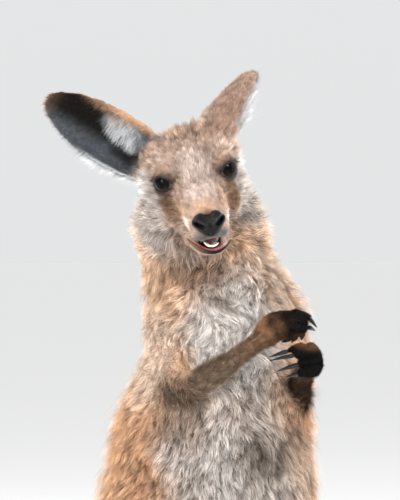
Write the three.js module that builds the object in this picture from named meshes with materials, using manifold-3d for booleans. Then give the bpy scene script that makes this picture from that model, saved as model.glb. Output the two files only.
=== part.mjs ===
// A young eastern grey kangaroo, life size, standing upright on its hind feet and tail with its arms
// folded and its mouth a little open. Every surface is the outline of the coat, out to its tips.
// Millimetres, +Z up, nose towards -Y, the animal's left on +X. The model stands on the floor at
// z = 0, with the middle of its bounding box over the origin.

import * as THREE from "three";
import { mergeVertices } from "three/addons/utils/BufferGeometryUtils.js";
import Module from "manifold-3d";

const wasm = await Module();
wasm.setup();

// ---------------------------------------------------------------- driving sizes

const GAP = 0.3; // left between pieces that touch
const RIGHT = -1; // the sign of x on the animal's right side
const LEFT = 1;

const EYE_HEIGHT = 593; // above the floor, midway between the eyes
const HEAD_PLACE = { x: -28, y: -56 }; // the same point, from the line between the feet
const HEAD_TURN = { nod: 18, roll: 13, yaw: -9.5 }; // degrees
const EYE = { radius: 12.5, apart: 44, back: -3, up: 2, lid: 1.9, gaze: 48, opening: [12, 5.8] };
const JAW_SWING = { roll: 14, yaw: -1 }; // degrees, as it chews to one side

const EAR = { length: 103, root: 17, width: 62, thick: 3.4 };
const HAND = { finger: 9.4, claw: 5, spread: 0.7 };
const FOOT = { heel: 66, toe: -152, apart: 118, high: 24 };
const TAIL = { base: 46, tip: 9 };
const HIP_HEIGHT = 236;
const KNEE_HEIGHT = 208;

// ---------------------------------------------------------------- small helpers

const X = new THREE.Vector3(1, 0, 0);
const Y = new THREE.Vector3(0, 1, 0);
const Z = new THREE.Vector3(0, 0, 1);
const point = (x, y, z) => new THREE.Vector3(x, y, z);
const radians = THREE.MathUtils.degToRad;
const between = (a, b, t) => new THREE.Vector3().lerpVectors(a, b, t);

// A smooth curve through its points, the same share of it between each pair.
const through = (points) => new THREE.CatmullRomCurve3(points, false, "catmullrom", 0.5);

// The solid inside a closed three.js geometry.
function solidOf(geometry, matrix = new THREE.Matrix4()) {
  const bare = geometry.clone().applyMatrix4(matrix);
  bare.deleteAttribute("normal");
  bare.deleteAttribute("uv");
  const merged = mergeVertices(bare, 1e-4);
  return new wasm.Manifold(
    new wasm.Mesh({
      numProp: 3,
      vertProperties: new Float32Array(merged.attributes.position.array),
      triVerts: new Uint32Array(merged.index.array),
    }),
  );
}

// The three.js geometry of a solid's surface.
function surfaceOf(solid) {
  const { numProp, vertProperties, triVerts } = solid.getMesh();
  const places = [];
  for (let i = 0; i < vertProperties.length; i += numProp)
    places.push(...vertProperties.subarray(i, i + 3));
  const geometry = new THREE.BufferGeometry();
  geometry.setAttribute("position", new THREE.Float32BufferAttribute(places, 3));
  geometry.setIndex([...triVerts]);
  return geometry.toNonIndexed();
}

const join = (...solids) => solids.reduce((all, one) => all.add(one));

// What is left of a solid once others are taken from it: its largest piece, without slivers.
function cut(solid, ...tools) {
  const rest = tools.reduce((left, tool) => left.subtract(tool), solid);
  return rest.decompose().reduce((a, b) => (a.volume() > b.volume() ? a : b));
}

// The part of a solid on one side of a plane: above it along its normal, or below it.
const above = (solid, normal, height) => solid.trimByPlane(normal.toArray(), height);
const below = (solid, normal, height) =>
  solid.trimByPlane(normal.clone().negate().toArray(), -height);

// ---------------------------------------------------------------- shapes

// A closed skin over a stack of rings, each with the same even number of points, that turn
// anticlockwise about the way the stack runs. A ladder of faces closes each end.
function loft(rings) {
  const sides = rings[0].length;
  const last = (rings.length - 1) * sides;
  const faces = [];
  for (let row = 0; row < last; row += sides)
    for (let s = 0; s < sides; s++) {
      const [a, b] = [row + s, row + ((s + 1) % sides)];
      faces.push(a, b, b + sides, a, b + sides, a + sides);
    }
  for (let s = 0; s < sides / 2 - 1; s++) {
    const [a, b, c, d] = [s, s + 1, sides - 2 - s, sides - 1 - s];
    if (b !== c) faces.push(a, c, b, last + a, last + b, last + c);
    faces.push(a, d, c, last + a, last + c, last + d);
  }
  const geometry = new THREE.BufferGeometry();
  const places = rings.flat().flatMap((p) => p.toArray());
  geometry.setAttribute("position", new THREE.Float32BufferAttribute(places, 3));
  geometry.setIndex(faces);
  return solidOf(geometry);
}

// A point of a rounded section: an ellipse at square = 2, boxier above it. A positive taper makes
// the section wider towards its lower side.
function sectionPoint(angle, square, taper) {
  const bend = (v) => Math.sign(v) * Math.abs(v) ** (2 / square);
  const [across, along] = [bend(Math.cos(angle)), bend(Math.sin(angle))];
  return [across * (1 + taper * along), along];
}

// A rounded body along a smooth line through its stations: each has a place, and its half sizes
// along the side direction and across it. Each end is a dome of so many rings, or flat where its
// dome is 0. facing fixes the way that its sections look, and grow makes it larger all round.
function limb(stations, options = {}) {
  const { side = X, facing, sides = 10, rings = 6, domes = [1, 1], domeRings = 2 } = options;
  const { square = 2, taper = 0, grow = 0 } = options;
  const line = through(stations.map((s) => s.at));
  const sizes = through(stations.map((s) => point(s.wide, s.deep, 0)));
  const ring = (t, tilt, dome) => {
    const size = sizes.getPoint(t).addScalar(grow);
    const ahead = facing ?? line.getTangent(t);
    const across = side.clone().addScaledVector(ahead, -side.dot(ahead)).normalize();
    const up = new THREE.Vector3().crossVectors(ahead, across);
    const reach = Math.sin(tilt) * dome * Math.min(size.x, size.y);
    const middle = line.getPoint(t).addScaledVector(ahead, reach);
    return Array.from({ length: sides }, (_, k) => {
      const [a, b] = sectionPoint((2 * Math.PI * (k + 0.5)) / sides, square, taper);
      return middle
        .clone()
        .addScaledVector(across, a * size.x * Math.cos(tilt))
        .addScaledVector(up, b * size.y * Math.cos(tilt));
    });
  };
  const tilts = (dome) =>
    Array.from({ length: dome ? domeRings : 0 }, (_, k) => (Math.PI / 2) * ((k + 1) / (domeRings + 0.5)));
  return loft([
    ...tilts(domes[0]).toReversed().map((tilt) => ring(0, -tilt, domes[0])),
    ...Array.from({ length: rings + 1 }, (_, r) => ring(r / rings, 0, 0)),
    ...tilts(domes[1]).map((tilt) => ring(1, tilt, domes[1])),
  ]);
}

// An ellipsoid, optionally turned about its middle.
function egg(middle, radii, { turn = new THREE.Euler(), grow = 0, steps = [12, 8] } = {}) {
  const size = radii.clone().addScalar(grow);
  const matrix = new THREE.Matrix4().compose(middle, new THREE.Quaternion().setFromEuler(turn), size);
  return solidOf(new THREE.SphereGeometry(1, ...steps), matrix);
}

// A pair of ellipsoids, mirrored left to right.
const eggPair = (middle, radii, options) =>
  join(
    ...[RIGHT, LEFT].map((hand) => egg(point(hand * middle.x, middle.y, middle.z), radii, options)),
  );

// ---------------------------------------------------------------- trunk and neck

// Level sections from the rump up to the neck, where the head covers it.
const TRUNK = [
  { z: 137, x: 0, y: 66, wide: 30, deep: 28 },
  { z: 160, x: 0, y: 52, wide: 60, deep: 55 },
  { z: 200, x: 0, y: 32, wide: 80, deep: 80 },
  { z: 243, x: 0, y: 16, wide: 90, deep: 95 },
  { z: 285, x: 0, y: 3, wide: 95, deep: 99 },
  { z: 322, x: -1, y: -3, wide: 92, deep: 96 },
  { z: 360, x: 0, y: -6, wide: 87, deep: 91 },
  { z: 396, x: 3, y: -6, wide: 83, deep: 85 },
  { z: 424, x: 9, y: -6, wide: 73, deep: 79 },
  { z: 446, x: 12, y: -6, wide: 66, deep: 75 },
  { z: 468, x: 11, y: -5, wide: 64, deep: 71 },
  { z: 492, x: 9, y: -4, wide: 65, deep: 66 },
  { z: 512, x: 4, y: -5, wide: 61, deep: 59 },
  { z: 530, x: -6, y: -8, wide: 58, deep: 53 },
  { z: 548, x: -11, y: -12, wide: 59, deep: 48 },
  { z: 570, x: -13, y: -16, wide: 54, deep: 42 },
  { z: 588, x: -14, y: -18, wide: 41, deep: 32 },
];

function trunk(grow = 0) {
  const stations = TRUNK.map(({ x, y, z, wide, deep }) => ({ at: point(x, y, z), wide, deep }));
  return limb(stations, {
    facing: Z,
    sides: 18,
    rings: 16,
    domes: [0.5, 0.5],
    square: 2.1,
    grow,
  });
}

// The planes that part the trunk: a point on each, above the floor, and its slope to the back.
const NECK_CUT = { z: 512, slope: -12 };
const CHEST_CUT = { z: 418, slope: 8 };
const BELLY_CUT = { z: 288, slope: 25 };

const planeOf = ({ z, slope }) => {
  const normal = Z.clone().applyAxisAngle(X, radians(slope));
  return [normal, normal.z * z];
};

// One length of the trunk, between two of those planes.
function trunkBetween(lower, upper, ...tools) {
  let length = trunk();
  if (lower) {
    const [normal, height] = planeOf(lower);
    length = above(length, normal, height + GAP / 2);
  }
  if (upper) {
    const [normal, height] = planeOf(upper);
    length = below(length, normal, height - GAP / 2);
  }
  return cut(length, ...tools);
}

// ---------------------------------------------------------------- head, in its own frame

// The head's own frame has its origin midway between the eyes and its nose towards -Y. Upright
// sections of the skull and upper jaw: from the nose back to the nape.
const SKULL = [
  { y: -78, top: -9, bottom: -30, wide: 11 },
  { y: -72, top: -5, bottom: -34, wide: 15.5 },
  { y: -60, top: -1, bottom: -36, wide: 18.5 },
  { y: -47, top: 3.5, bottom: -37, wide: 20 },
  { y: -34, top: 8.5, bottom: -38, wide: 22 },
  { y: -22, top: 13.5, bottom: -42, wide: 25 },
  { y: -11, top: 19, bottom: -47, wide: 29 },
  { y: 0, top: 24.5, bottom: -50, wide: 33.5 },
  { y: 12, top: 29, bottom: -52, wide: 39 },
  { y: 25, top: 33, bottom: -50, wide: 44 },
  { y: 36, top: 34.5, bottom: -43, wide: 43 },
  { y: 48, top: 28, bottom: -30, wide: 35 },
];

function skull(grow = 0) {
  const stations = SKULL.map(({ y, top, bottom, wide }) => ({
    at: point(0, y, (top + bottom) / 2),
    wide,
    deep: (top - bottom) / 2,
  }));
  const options = { facing: Y, sides: 14, rings: 11, domes: [0.25, 0.5], grow };
  const mound = { grow, steps: [8, 6] };
  const cheeks = eggPair(point(22, 2, -23), point(17, 38, 18), mound);
  const lips = eggPair(point(8.5, -66, -27), point(9.5, 15, 8.5), { grow, steps: [8, 5] });
  const inward = new THREE.Euler(0, 0, radians(-11));
  const earRoots = join(
    eggPair(point(29, 30, 13), point(15, 16, 16), mound),
    egg(point(28, 18, 17), point(13, 15, 12), mound), // in front of the ear that is laid back
    egg(point(21.5, 50, 31), point(8, 29, 7.5), { ...mound, turn: inward }), // along its inner edge
  );
  const whole = join(
    limb(stations, { ...options, square: 2.2, taper: 0.1 }),
    cheeks,
    lips,
    earRoots,
    eyes(EYE.lid + grow),
  );
  return grow ? whole : cut(whole, eyes(GAP), eyeOpenings(), nosePad(GAP));
}

// The eyeballs; grown by the thickness of a lid, the mounds that the lids make.
function eyes(grow = 0, hands = [RIGHT, LEFT]) {
  const size = new THREE.Vector3().setScalar(EYE.radius);
  const at = (hand) => point((hand * EYE.apart) / 2, EYE.back, EYE.up);
  return join(...hands.map((hand) => egg(at(hand), size, { grow, steps: [10, 7] })));
}

// The openings between the lids, each turned out from the nose by the angle of its gaze.
function eyeOpenings() {
  const [long, high] = EYE.opening;
  const openings = [RIGHT, LEFT].map((hand) => {
    const turn = new THREE.Euler(0, 0, radians(hand * EYE.gaze));
    const ahead = Y.clone().negate().applyEuler(turn).multiplyScalar(EYE.radius);
    const at = point((hand * EYE.apart) / 2, EYE.back, EYE.up + 0.6).add(ahead);
    return egg(at, point(long, 7, high), { turn, steps: [8, 5] });
  });
  return join(...openings);
}

// The bare black pad of the nose, with a nostril in each side.
function nosePad(grow = 0) {
  const tilt = new THREE.Euler(radians(-14), 0, 0);
  const options = { turn: tilt, steps: [10, 7], grow };
  const pad = egg(point(0, -75.5, -18), point(14.5, 8, 10.8), options);
  if (grow) return pad;
  const nostrils = eggPair(point(9.8, -81.5, -15), point(2.6, 4.5, 2), { steps: [6, 4] });
  return cut(pad, nostrils);
}

// Sections of the lower jaw, from the chin back to below the cheek.
const JAW = [
  { y: -64, top: -43, bottom: -50.5, wide: 9 },
  { y: -55, top: -41, bottom: -54, wide: 13.5 },
  { y: -43, top: -39, bottom: -56, wide: 16 },
  { y: -28, top: -37.5, bottom: -58, wide: 18.5 },
  { y: -10, top: -36, bottom: -60, wide: 24 },
  { y: 8, top: -37, bottom: -59, wide: 27 },
];

function lowerJaw(grow = 0) {
  const stations = JAW.map(({ y, top, bottom, wide }) => ({
    at: point(0, y, (top + bottom) / 2),
    wide,
    deep: (top - bottom) / 2,
  }));
  const options = { facing: Y, rings: 6, domes: [0.9, 0.6], square: 2.2, grow };
  const whole = limb(stations, options);
  return swung(grow ? whole : cut(whole, mouthFloor()));
}

// Parts of the lower jaw, moved with it as it chews: rolled about the jaw's own middle line and
// turned about its hinge.
function swung(solid) {
  const roll = new THREE.Matrix4().makeRotationY(radians(JAW_SWING.roll));
  const turn = new THREE.Matrix4().makeRotationZ(radians(JAW_SWING.yaw));
  const [hinge, back] = [point(0, 20, -42), point(0, -20, 42)].map((p) =>
    new THREE.Matrix4().makeTranslation(p),
  );
  return solid.transform(hinge.multiply(turn).multiply(roll).multiply(back).elements);
}

// The hollow of the lower jaw, which holds the tongue behind the front teeth.
const mouthFloor = () => egg(point(0, -44, -36), point(11.5, 21, 9.5), { steps: [10, 6] });

// The tongue lies in that hollow.
function tongue(grow = 0) {
  const stations = [
    { at: point(0, -50, -42.2), wide: 6.5, deep: 1.8 },
    { at: point(0, -44, -42), wide: 7.5, deep: 2.2 },
    { at: point(0, -35, -40.5), wide: 7, deep: 2 },
  ];
  return swung(limb(stations, { facing: Y, sides: 8, rings: 3, domeRings: 1, grow }));
}

// The pair of long lower front teeth, which point forwards, side by side.
function lowerTeeth(grow = 0) {
  const tooth = (hand) =>
    limb(
      [
        { at: point(hand * 2.6, -54.5, -40.5), wide: 3.1, deep: 1.6 },
        { at: point(hand * 2.8, -59.5, -40.4), wide: 3.3, deep: 1.5 },
        { at: point(hand * 2.6, -64, -39.2), wide: 2.2, deep: 1 },
      ],
      { facing: Y.clone().negate(), sides: 6, rings: 3, domeRings: 1, grow },
    );
  return swung(join(tooth(RIGHT), tooth(LEFT)));
}

// ---------------------------------------------------------------- ears

// How wide the ear is, and half the angle that it curls through, along its length from 0 to 1.
const earFunnel = (t) => 0.36 * (1 - t) ** 6; // the base widens where it meets the head
const earWidth = (t) =>
  earFunnel(t) + 0.6 * Math.sqrt(1 - t ** 4.5) + 0.36 * Math.sin(Math.PI * t ** 0.72);
const earCurl = (t) => radians(118 - 92 * t ** 0.55);

// A leaf-shaped shell, cupped about its length. The opening looks along the direction given.
function ear({ at, axis, opening }, grow = 0) {
  const ahead = axis.clone().normalize();
  const open = opening.clone().addScaledVector(ahead, -opening.dot(ahead)).normalize();
  const across = new THREE.Vector3().crossVectors(open, ahead);
  const steps = 7;
  const halfThick = EAR.thick / 2 + grow;
  const edge = (t, turn, out) => {
    const curl = earCurl(t);
    const radius = (earWidth(t) * EAR.width) / 2 / curl;
    const sag = 5 * Math.sin(Math.PI * t); // the blade bows back a little along its length
    return at
      .clone()
      .addScaledVector(ahead, t * (EAR.length + EAR.root) - EAR.root)
      .addScaledVector(open, -radius * Math.cos(turn * curl) - out * Math.cos(turn * curl) - sag)
      .addScaledVector(open, radius * Math.cos(curl))
      .addScaledVector(across, (radius + out) * Math.sin(turn * curl));
  };
  const rings = [];
  for (const t of [0, 0.14, 0.3, 0.47, 0.64, 0.8, 0.92, 0.985]) {
    const turns = Array.from({ length: steps }, (_, k) => -1 + (2 * k) / (steps - 1));
    const outer = turns.map((turn) => edge(t, turn, halfThick));
    const inner = turns.toReversed().map((turn) => edge(t, turn, -halfThick));
    rings.push([...outer, ...inner]);
  }
  return loft(rings);
}

const EARS = {
  // Swung out and forwards, its opening towards the viewer in front.
  right: {
    at: point(-33, 29, 13),
    axis: point(-0.73, 0.30, 0.62),
    opening: point(-0.02, -0.91, 0.42),
  },
  // Laid back, its opening outwards.
  left: {
    at: point(31, 28, 14),
    axis: point(0.37, 0.89, 0.27),
    opening: point(0.41, -0.06, -0.91),
  },
};

// ---------------------------------------------------------------- arms

const ARMS = {
  right: {
    shoulder: point(-38, -12, 474),
    elbow: point(-42, -63, 409),
    wrist: point(15, -108, 459),
    back: point(23.5, -113, 468), // the middle of the back of the hand
    knuckles: point(38, -119, 470),
    half: 14.5, // half the hand's breadth
    row: point(0.12, 0.05, -0.99), // across the knuckles, from the thumb to the little finger
    // Where each finger ends, and the tip of its claw; only two claws aren't curled in.
    fingers: [
      [point(49.5, -120, 476.5), point(58, -118, 468.5)],
      [point(49.5, -118.5, 468.5), point(58.5, -112, 465.5)],
      [point(46.5, -116, 463), point(50, -102, 458)],
      [point(41.5, -114.5, 460), point(42, -101, 456)],
      [point(36, -113.5, 458), point(33, -102, 456)],
    ],
  },
  left: {
    shoulder: point(59, -14, 475),
    elbow: point(58, -49, 402),
    wrist: point(54, -109, 438),
    back: point(53.5, -120, 441),
    knuckles: point(45.5, -129, 442),
    half: 16.5,
    row: point(0.2, 0.05, -0.98),
    fingers: [
      [point(30, -134, 449.5), point(11.5, -136, 445.5)],
      [point(35, -135, 446), point(12, -136.5, 443)],
      [point(38.5, -134, 438.5), point(18, -136, 434)],
      [point(39, -132, 430.5), point(26.5, -134, 428.8)],
      [point(42, -122, 430), point(32.5, -121, 428.8)],
    ],
  },
};

function upperArm({ shoulder, elbow }, grow = 0) {
  const stations = [
    { at: shoulder, wide: 22, deep: 28 },
    { at: between(shoulder, elbow, 0.35), wide: 22, deep: 26 },
    { at: between(shoulder, elbow, 0.7), wide: 20, deep: 23 },
    { at: elbow, wide: 18.5, deep: 19.5 },
  ];
  return limb(stations, { rings: 4, domes: [1, 0.9], grow });
}

function forearm({ elbow, wrist }, grow = 0) {
  const stations = [
    { at: elbow, wide: 17, deep: 17 },
    { at: between(elbow, wrist, 0.22), wide: 15.5, deep: 15.5 },
    { at: between(elbow, wrist, 0.5), wide: 11, deep: 11.5 },
    { at: between(elbow, wrist, 0.8), wide: 9.5, deep: 10 },
    { at: wrist, wide: 10, deep: 10.5 },
  ];
  return limb(stations, { side: Y, rings: 5, domes: [0.7, 0.6], grow });
}

function hand(arm, grow = 0) {
  const row = arm.row.clone().normalize();
  const palm = limb(
    [
      { at: arm.wrist, wide: 11, deep: 9.5 },
      { at: arm.back, wide: arm.half * 0.96, deep: 9.5 },
      { at: arm.knuckles, wide: arm.half * 0.9, deep: 7 },
    ],
    { side: row, sides: 8, rings: 4, domes: [0, 0.6], domeRings: 1, grow },
  );
  const half = HAND.finger / 2;
  const fingers = arm.fingers.map(([end], index) => {
    const start = arm.knuckles.clone().addScaledVector(row, (index / 2 - 1) * HAND.spread * arm.half);
    const stations = [
      { at: start, wide: half, deep: half * 1.1 },
      { at: between(start, end, 0.5), wide: half * 0.97, deep: half * 1.05 },
      { at: end, wide: half * 0.78, deep: half * 0.84 },
    ];
    return limb(stations, { side: row, sides: 6, rings: 2, domes: [0, 1], domeRings: 1, grow });
  });
  return join(palm, ...fingers);
}

// A tapered, slightly hooked claw from a toe's end.
function claw(start, direction, length, thick, side, drop = 0.22) {
  const ahead = direction.clone().normalize();
  const at = (share) =>
    start
      .clone()
      .addScaledVector(ahead, share * length)
      .addScaledVector(Z, -drop * length * share ** 2);
  const stations = [
    { at: at(-0.1), wide: thick * 0.42, deep: thick * 0.5 },
    { at: at(0.45), wide: thick * 0.34, deep: thick * 0.44 },
    { at: at(1), wide: thick * 0.07, deep: thick * 0.1 },
  ];
  return limb(stations, { side, sides: 8, rings: 2, domes: [0, 1], domeRings: 1 });
}

function handClaw({ row }, [end, tip]) {
  const ahead = tip.clone().sub(end);
  return claw(end, ahead, ahead.length(), HAND.claw, row, 0.06);
}

// ---------------------------------------------------------------- legs and tail

function thigh(hand, grow = 0) {
  const stations = [
    { at: point(hand * 53, 48, HIP_HEIGHT), wide: 47, deep: 66 },
    { at: point(hand * 59, 8, HIP_HEIGHT), wide: 47, deep: 70 },
    { at: point(hand * 66, -36, HIP_HEIGHT - 9), wide: 39, deep: 58 },
    { at: point(hand * 72, -80, KNEE_HEIGHT), wide: 26, deep: 35 },
  ];
  return limb(stations, { rings: 5, domes: [0.7, 0.9], grow });
}

const ankleOf = (hand) => point((hand * FOOT.apart) / 2, FOOT.heel - 18, FOOT.high + 20);

function shank(hand, grow = 0) {
  const knee = point(hand * 71, -76, KNEE_HEIGHT - 6);
  const ankle = ankleOf(hand);
  const stations = [
    { at: knee, wide: 23, deep: 30 },
    { at: between(knee, ankle, 0.28).add(point(0, 6, 0)), wide: 22, deep: 29 },
    { at: between(knee, ankle, 0.62).add(point(0, 4, 0)), wide: 15, deep: 19 },
    { at: ankle, wide: 13, deep: 16 },
  ];
  return limb(stations, { rings: 5, domes: [0.8, 0.6], grow });
}

// The toes on the floor: the great fourth toe, the fifth outside it, and the joined second and
// third inside it. out is from the foot's middle line, away from the body.
const TOES = [
  { out: 3, start: -78, end: FOOT.toe, thick: 20, claw: 25 },
  { out: 15, start: -80, end: FOOT.toe + 34, thick: 13, claw: 15 },
  { out: -11, start: -76, end: FOOT.toe + 42, thick: 10, claw: 9 },
];

function foot(hand, grow = 0) {
  const middle = (hand * FOOT.apart) / 2;
  const sole = limb(
    [
      { at: point(middle, FOOT.heel, FOOT.high - 3), wide: 14, deep: 23 },
      { at: point(middle, FOOT.heel - 40, FOOT.high - 5.5), wide: 14.5, deep: 20.5 },
      { at: point(middle + hand * 1.5, -20, FOOT.high - 9), wide: 15.5, deep: 17.5 },
      { at: point(middle + hand * 2, -82, FOOT.high - 12), wide: 20, deep: 14.5 },
    ],
    { rings: 5, domes: [0.8, 1], domeRings: 1, grow },
  );
  const toes = TOES.map(({ out, start, end, thick }) => {
    const half = thick / 2;
    const at = (y, spread, lift) => point(middle + hand * out * spread, y, half * lift);
    const stations = [
      { at: at(start, 1, 1), wide: half, deep: half },
      { at: at((start + end) / 2, 1.25, 0.88), wide: half * 0.95, deep: half },
      { at: at(end, 1.35, 0.8), wide: half * 0.85, deep: half * 0.9 },
    ];
    const sides = thick > 15 ? 8 : 6;
    return limb(stations, { sides, rings: 2, domes: [0, 1], domeRings: 1, grow });
  });
  return above(join(sole, ...toes), Z, 0);
}

function footClaw(hand, { out, end, thick, claw: length }) {
  const start = point((hand * FOOT.apart) / 2 + hand * out * 1.35, end - thick * 0.3, thick * 0.5);
  return above(claw(start, Y.clone().negate(), length, thick * 0.62, X, 0.12), Z, 0.2);
}

// Down from the rump, then back along the floor with a slight sweep to the left.
const TAIL_LINE = [
  { x: 0, y: 78, z: 196, size: 1 },
  { x: 0, y: 122, z: 150, size: 0.86 },
  { x: 1, y: 168, z: 106, size: 0.7 },
  { x: 4, y: 220, z: 67, size: 0.55 },
  { x: 9, y: 282, z: 35, size: 0.43 },
  { x: 17, y: 352, z: 20, size: 0.34 },
  { x: 27, y: 424, z: 16, size: 0.25 },
  { x: 39, y: 496, z: 11.5, size: 0.14 },
];

function tail(grow = 0) {
  const stations = TAIL_LINE.map(({ x, y, z, size }) => {
    const radius = TAIL.tip * (1 - size) + TAIL.base * size;
    return { at: point(x, y, z), wide: radius * 0.96, deep: radius };
  });
  return above(limb(stations, { rings: 11, domes: [0.5, 2.2], grow }), Z, 0);
}

const TAIL_CUTS = [238, 372]; // how far back the tail is parted

function tailBetween(from, to) {
  let length = cut(tail(), trunk(GAP));
  if (from) length = above(length, Y, from + GAP / 2);
  if (to) length = below(length, Y, to - GAP / 2);
  return length;
}

// ---------------------------------------------------------------- materials

const coat = (color) => new THREE.MeshStandardMaterial({ color, roughness: 0.85, metalness: 0 });
const shiny = (color, roughness) =>
  new THREE.MeshStandardMaterial({ color, roughness, metalness: 0 });

const MATERIALS = {
  faceFur: coat(0xc2a48c),
  neckFur: coat(0xc4a58c),
  bellyFur: coat(0xcfc3b8),
  flankFur: coat(0xb89072),
  armFur: coat(0x9a8370),
  handFur: coat(0x2e221c),
  legFur: coat(0x9c8066),
  footFur: coat(0x5a4a40),
  tailFur: coat(0x8d7260),
  earFur: coat(0x8a7468),
  eye: shiny(0x120d0a, 0.08),
  nose: shiny(0x1b191b, 0.35),
  claw: shiny(0x17171b, 0.3),
  tooth: shiny(0xe6dfce, 0.3),
  tongue: shiny(0x7d3a38, 0.4),
};

// ---------------------------------------------------------------- the kangaroo

function piece(name, solid, material) {
  const mesh = new THREE.Mesh(surfaceOf(solid), material);
  mesh.name = name;
  return mesh;
}

const headGroup = new THREE.Group();
headGroup.position.set(HEAD_PLACE.x, HEAD_PLACE.y, EYE_HEIGHT);
headGroup.rotation.set(
  radians(HEAD_TURN.nod),
  radians(-HEAD_TURN.roll),
  radians(HEAD_TURN.yaw),
  "ZXY",
);
headGroup.updateMatrix();
const inBody = (solid) => solid.transform(headGroup.matrix.elements);

const jaw = cut(lowerJaw(), skull(GAP), lowerTeeth(GAP), tongue(GAP));
headGroup.add(
  piece("head", skull(), MATERIALS.faceFur),
  piece("nose", nosePad(), MATERIALS.nose),
  piece("lower_jaw", jaw, MATERIALS.faceFur),
  piece("tongue", tongue(), MATERIALS.tongue),
  piece("lower_teeth", lowerTeeth(), MATERIALS.tooth),
  piece("eye_right", eyes(0, [RIGHT]), MATERIALS.eye),
  piece("eye_left", eyes(0, [LEFT]), MATERIALS.eye),
  piece("ear_right", cut(ear(EARS.right), skull(GAP)), MATERIALS.earFur),
  piece("ear_left", cut(ear(EARS.left), skull(GAP)), MATERIALS.earFur),
);

const bodyGroup = new THREE.Group();
const headCutter = inBody(join(skull(GAP), lowerJaw(GAP)));
bodyGroup.add(
  piece("neck", trunkBetween(NECK_CUT, null, headCutter), MATERIALS.neckFur),
  piece("chest", trunkBetween(CHEST_CUT, NECK_CUT), MATERIALS.bellyFur),
  piece("belly", trunkBetween(BELLY_CUT, CHEST_CUT), MATERIALS.bellyFur),
  piece("rump", trunkBetween(null, BELLY_CUT), MATERIALS.flankFur),
);

for (const [name, arm] of Object.entries(ARMS)) {
  const beside = name === "left" ? [hand(ARMS.right, GAP)] : []; // the hand that it touches
  bodyGroup.add(
    piece("upper_arm_" + name, cut(upperArm(arm), trunk(GAP)), MATERIALS.neckFur),
    piece("forearm_" + name, cut(forearm(arm), upperArm(arm, GAP), trunk(GAP)), MATERIALS.armFur),
    piece("hand_" + name, cut(hand(arm), forearm(arm, GAP), ...beside), MATERIALS.handFur),
  );
  arm.fingers.forEach((finger, index) => {
    const solid = cut(handClaw(arm, finger), hand(arm, GAP));
    bodyGroup.add(piece("claw_hand_" + name + "_" + (index + 1), solid, MATERIALS.claw));
  });
}

for (const [name, hand] of [
  ["right", RIGHT],
  ["left", LEFT],
]) {
  const leg = cut(shank(hand), thigh(hand, GAP), trunk(GAP));
  bodyGroup.add(
    piece("thigh_" + name, cut(thigh(hand), trunk(GAP)), MATERIALS.legFur),
    piece("shank_" + name, leg, MATERIALS.legFur),
    piece("foot_" + name, cut(foot(hand), shank(hand, GAP)), MATERIALS.footFur),
  );
  TOES.forEach((toe, index) => {
    const solid = cut(footClaw(hand, toe), foot(hand, GAP));
    bodyGroup.add(piece("claw_foot_" + name + "_" + (index + 1), solid, MATERIALS.claw));
  });
}

const [tailBend, tailEnd] = TAIL_CUTS;
bodyGroup.add(
  piece("tail_base", tailBetween(null, tailBend), MATERIALS.tailFur),
  piece("tail_middle", tailBetween(tailBend, tailEnd), MATERIALS.tailFur),
  piece("tail_tip", tailBetween(tailEnd, null), MATERIALS.tailFur),
);

// The middle of the bounding box goes over the origin, with the soles and tail on the floor.
const kangaroo = new THREE.Group();
kangaroo.add(bodyGroup, headGroup);
const bounds = new THREE.Box3().setFromObject(kangaroo, true);
const middle = bounds.getCenter(new THREE.Vector3());
kangaroo.position.set(-middle.x, -middle.y, -bounds.min.z);

export default kangaroo;
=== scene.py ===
"""The kangaroo's looks: one skin, a coat of mesh tufts, its head's details, light and camera."""

import math

import bmesh
import bpy
import numpy as np
from mathutils import Matrix, Vector
from mathutils.bvhtree import BVHTree
from mathutils.kdtree import KDTree


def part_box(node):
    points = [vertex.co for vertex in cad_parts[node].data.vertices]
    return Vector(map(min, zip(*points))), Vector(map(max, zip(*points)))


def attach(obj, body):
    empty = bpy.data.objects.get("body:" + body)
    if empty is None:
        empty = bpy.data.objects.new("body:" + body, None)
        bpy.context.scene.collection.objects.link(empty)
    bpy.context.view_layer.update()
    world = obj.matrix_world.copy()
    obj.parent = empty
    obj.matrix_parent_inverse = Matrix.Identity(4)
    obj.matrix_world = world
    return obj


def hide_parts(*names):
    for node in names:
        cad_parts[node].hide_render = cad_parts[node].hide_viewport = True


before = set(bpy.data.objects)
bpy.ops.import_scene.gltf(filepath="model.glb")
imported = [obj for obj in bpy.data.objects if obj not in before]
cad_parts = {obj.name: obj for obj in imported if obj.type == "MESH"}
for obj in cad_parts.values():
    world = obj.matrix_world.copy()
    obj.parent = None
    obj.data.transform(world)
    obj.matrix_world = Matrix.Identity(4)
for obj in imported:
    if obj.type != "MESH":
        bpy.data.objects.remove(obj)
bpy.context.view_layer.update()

MM = 0.001
SEED = 4137
PAINT = "coat"  # the name of the colours that meshes carry

# ---------------- where things are
# The head's own frame, in millimetres: origin midway between the eyes, nose towards -Y.
HEAD_TURN = {"nod": 18, "roll": 13, "yaw": -9.5}  # degrees
EYE = {"radius": 12.5, "apart": 44, "back": -3, "up": 2, "gaze": 48}
JAW_SWING = {"roll": 14, "yaw": -1, "hinge": (0, 20, -42)}
# The body's own frame, in millimetres: origin on the floor between the feet, facing -Y.
HEAD_PLACE = (-28, -56, 593)


def turned(axis, degrees):
    return Matrix.Rotation(math.radians(degrees), 4, axis)


def middle_of(node):
    low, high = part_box(node)
    return (low + high) / 2


def head_frame():
    """From the head's own frame to the model's, found from the two eyeballs."""
    turn = turned("Z", HEAD_TURN["yaw"]) @ turned("X", HEAD_TURN["nod"])
    turn = turn @ turned("Y", -HEAD_TURN["roll"])
    between = (middle_of("eye_right") + middle_of("eye_left")) / 2
    origin = between - turn @ Vector((0, EYE["back"], EYE["up"])) * MM
    return Matrix.Translation(origin) @ turn @ Matrix.Scale(MM, 4)


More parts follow.
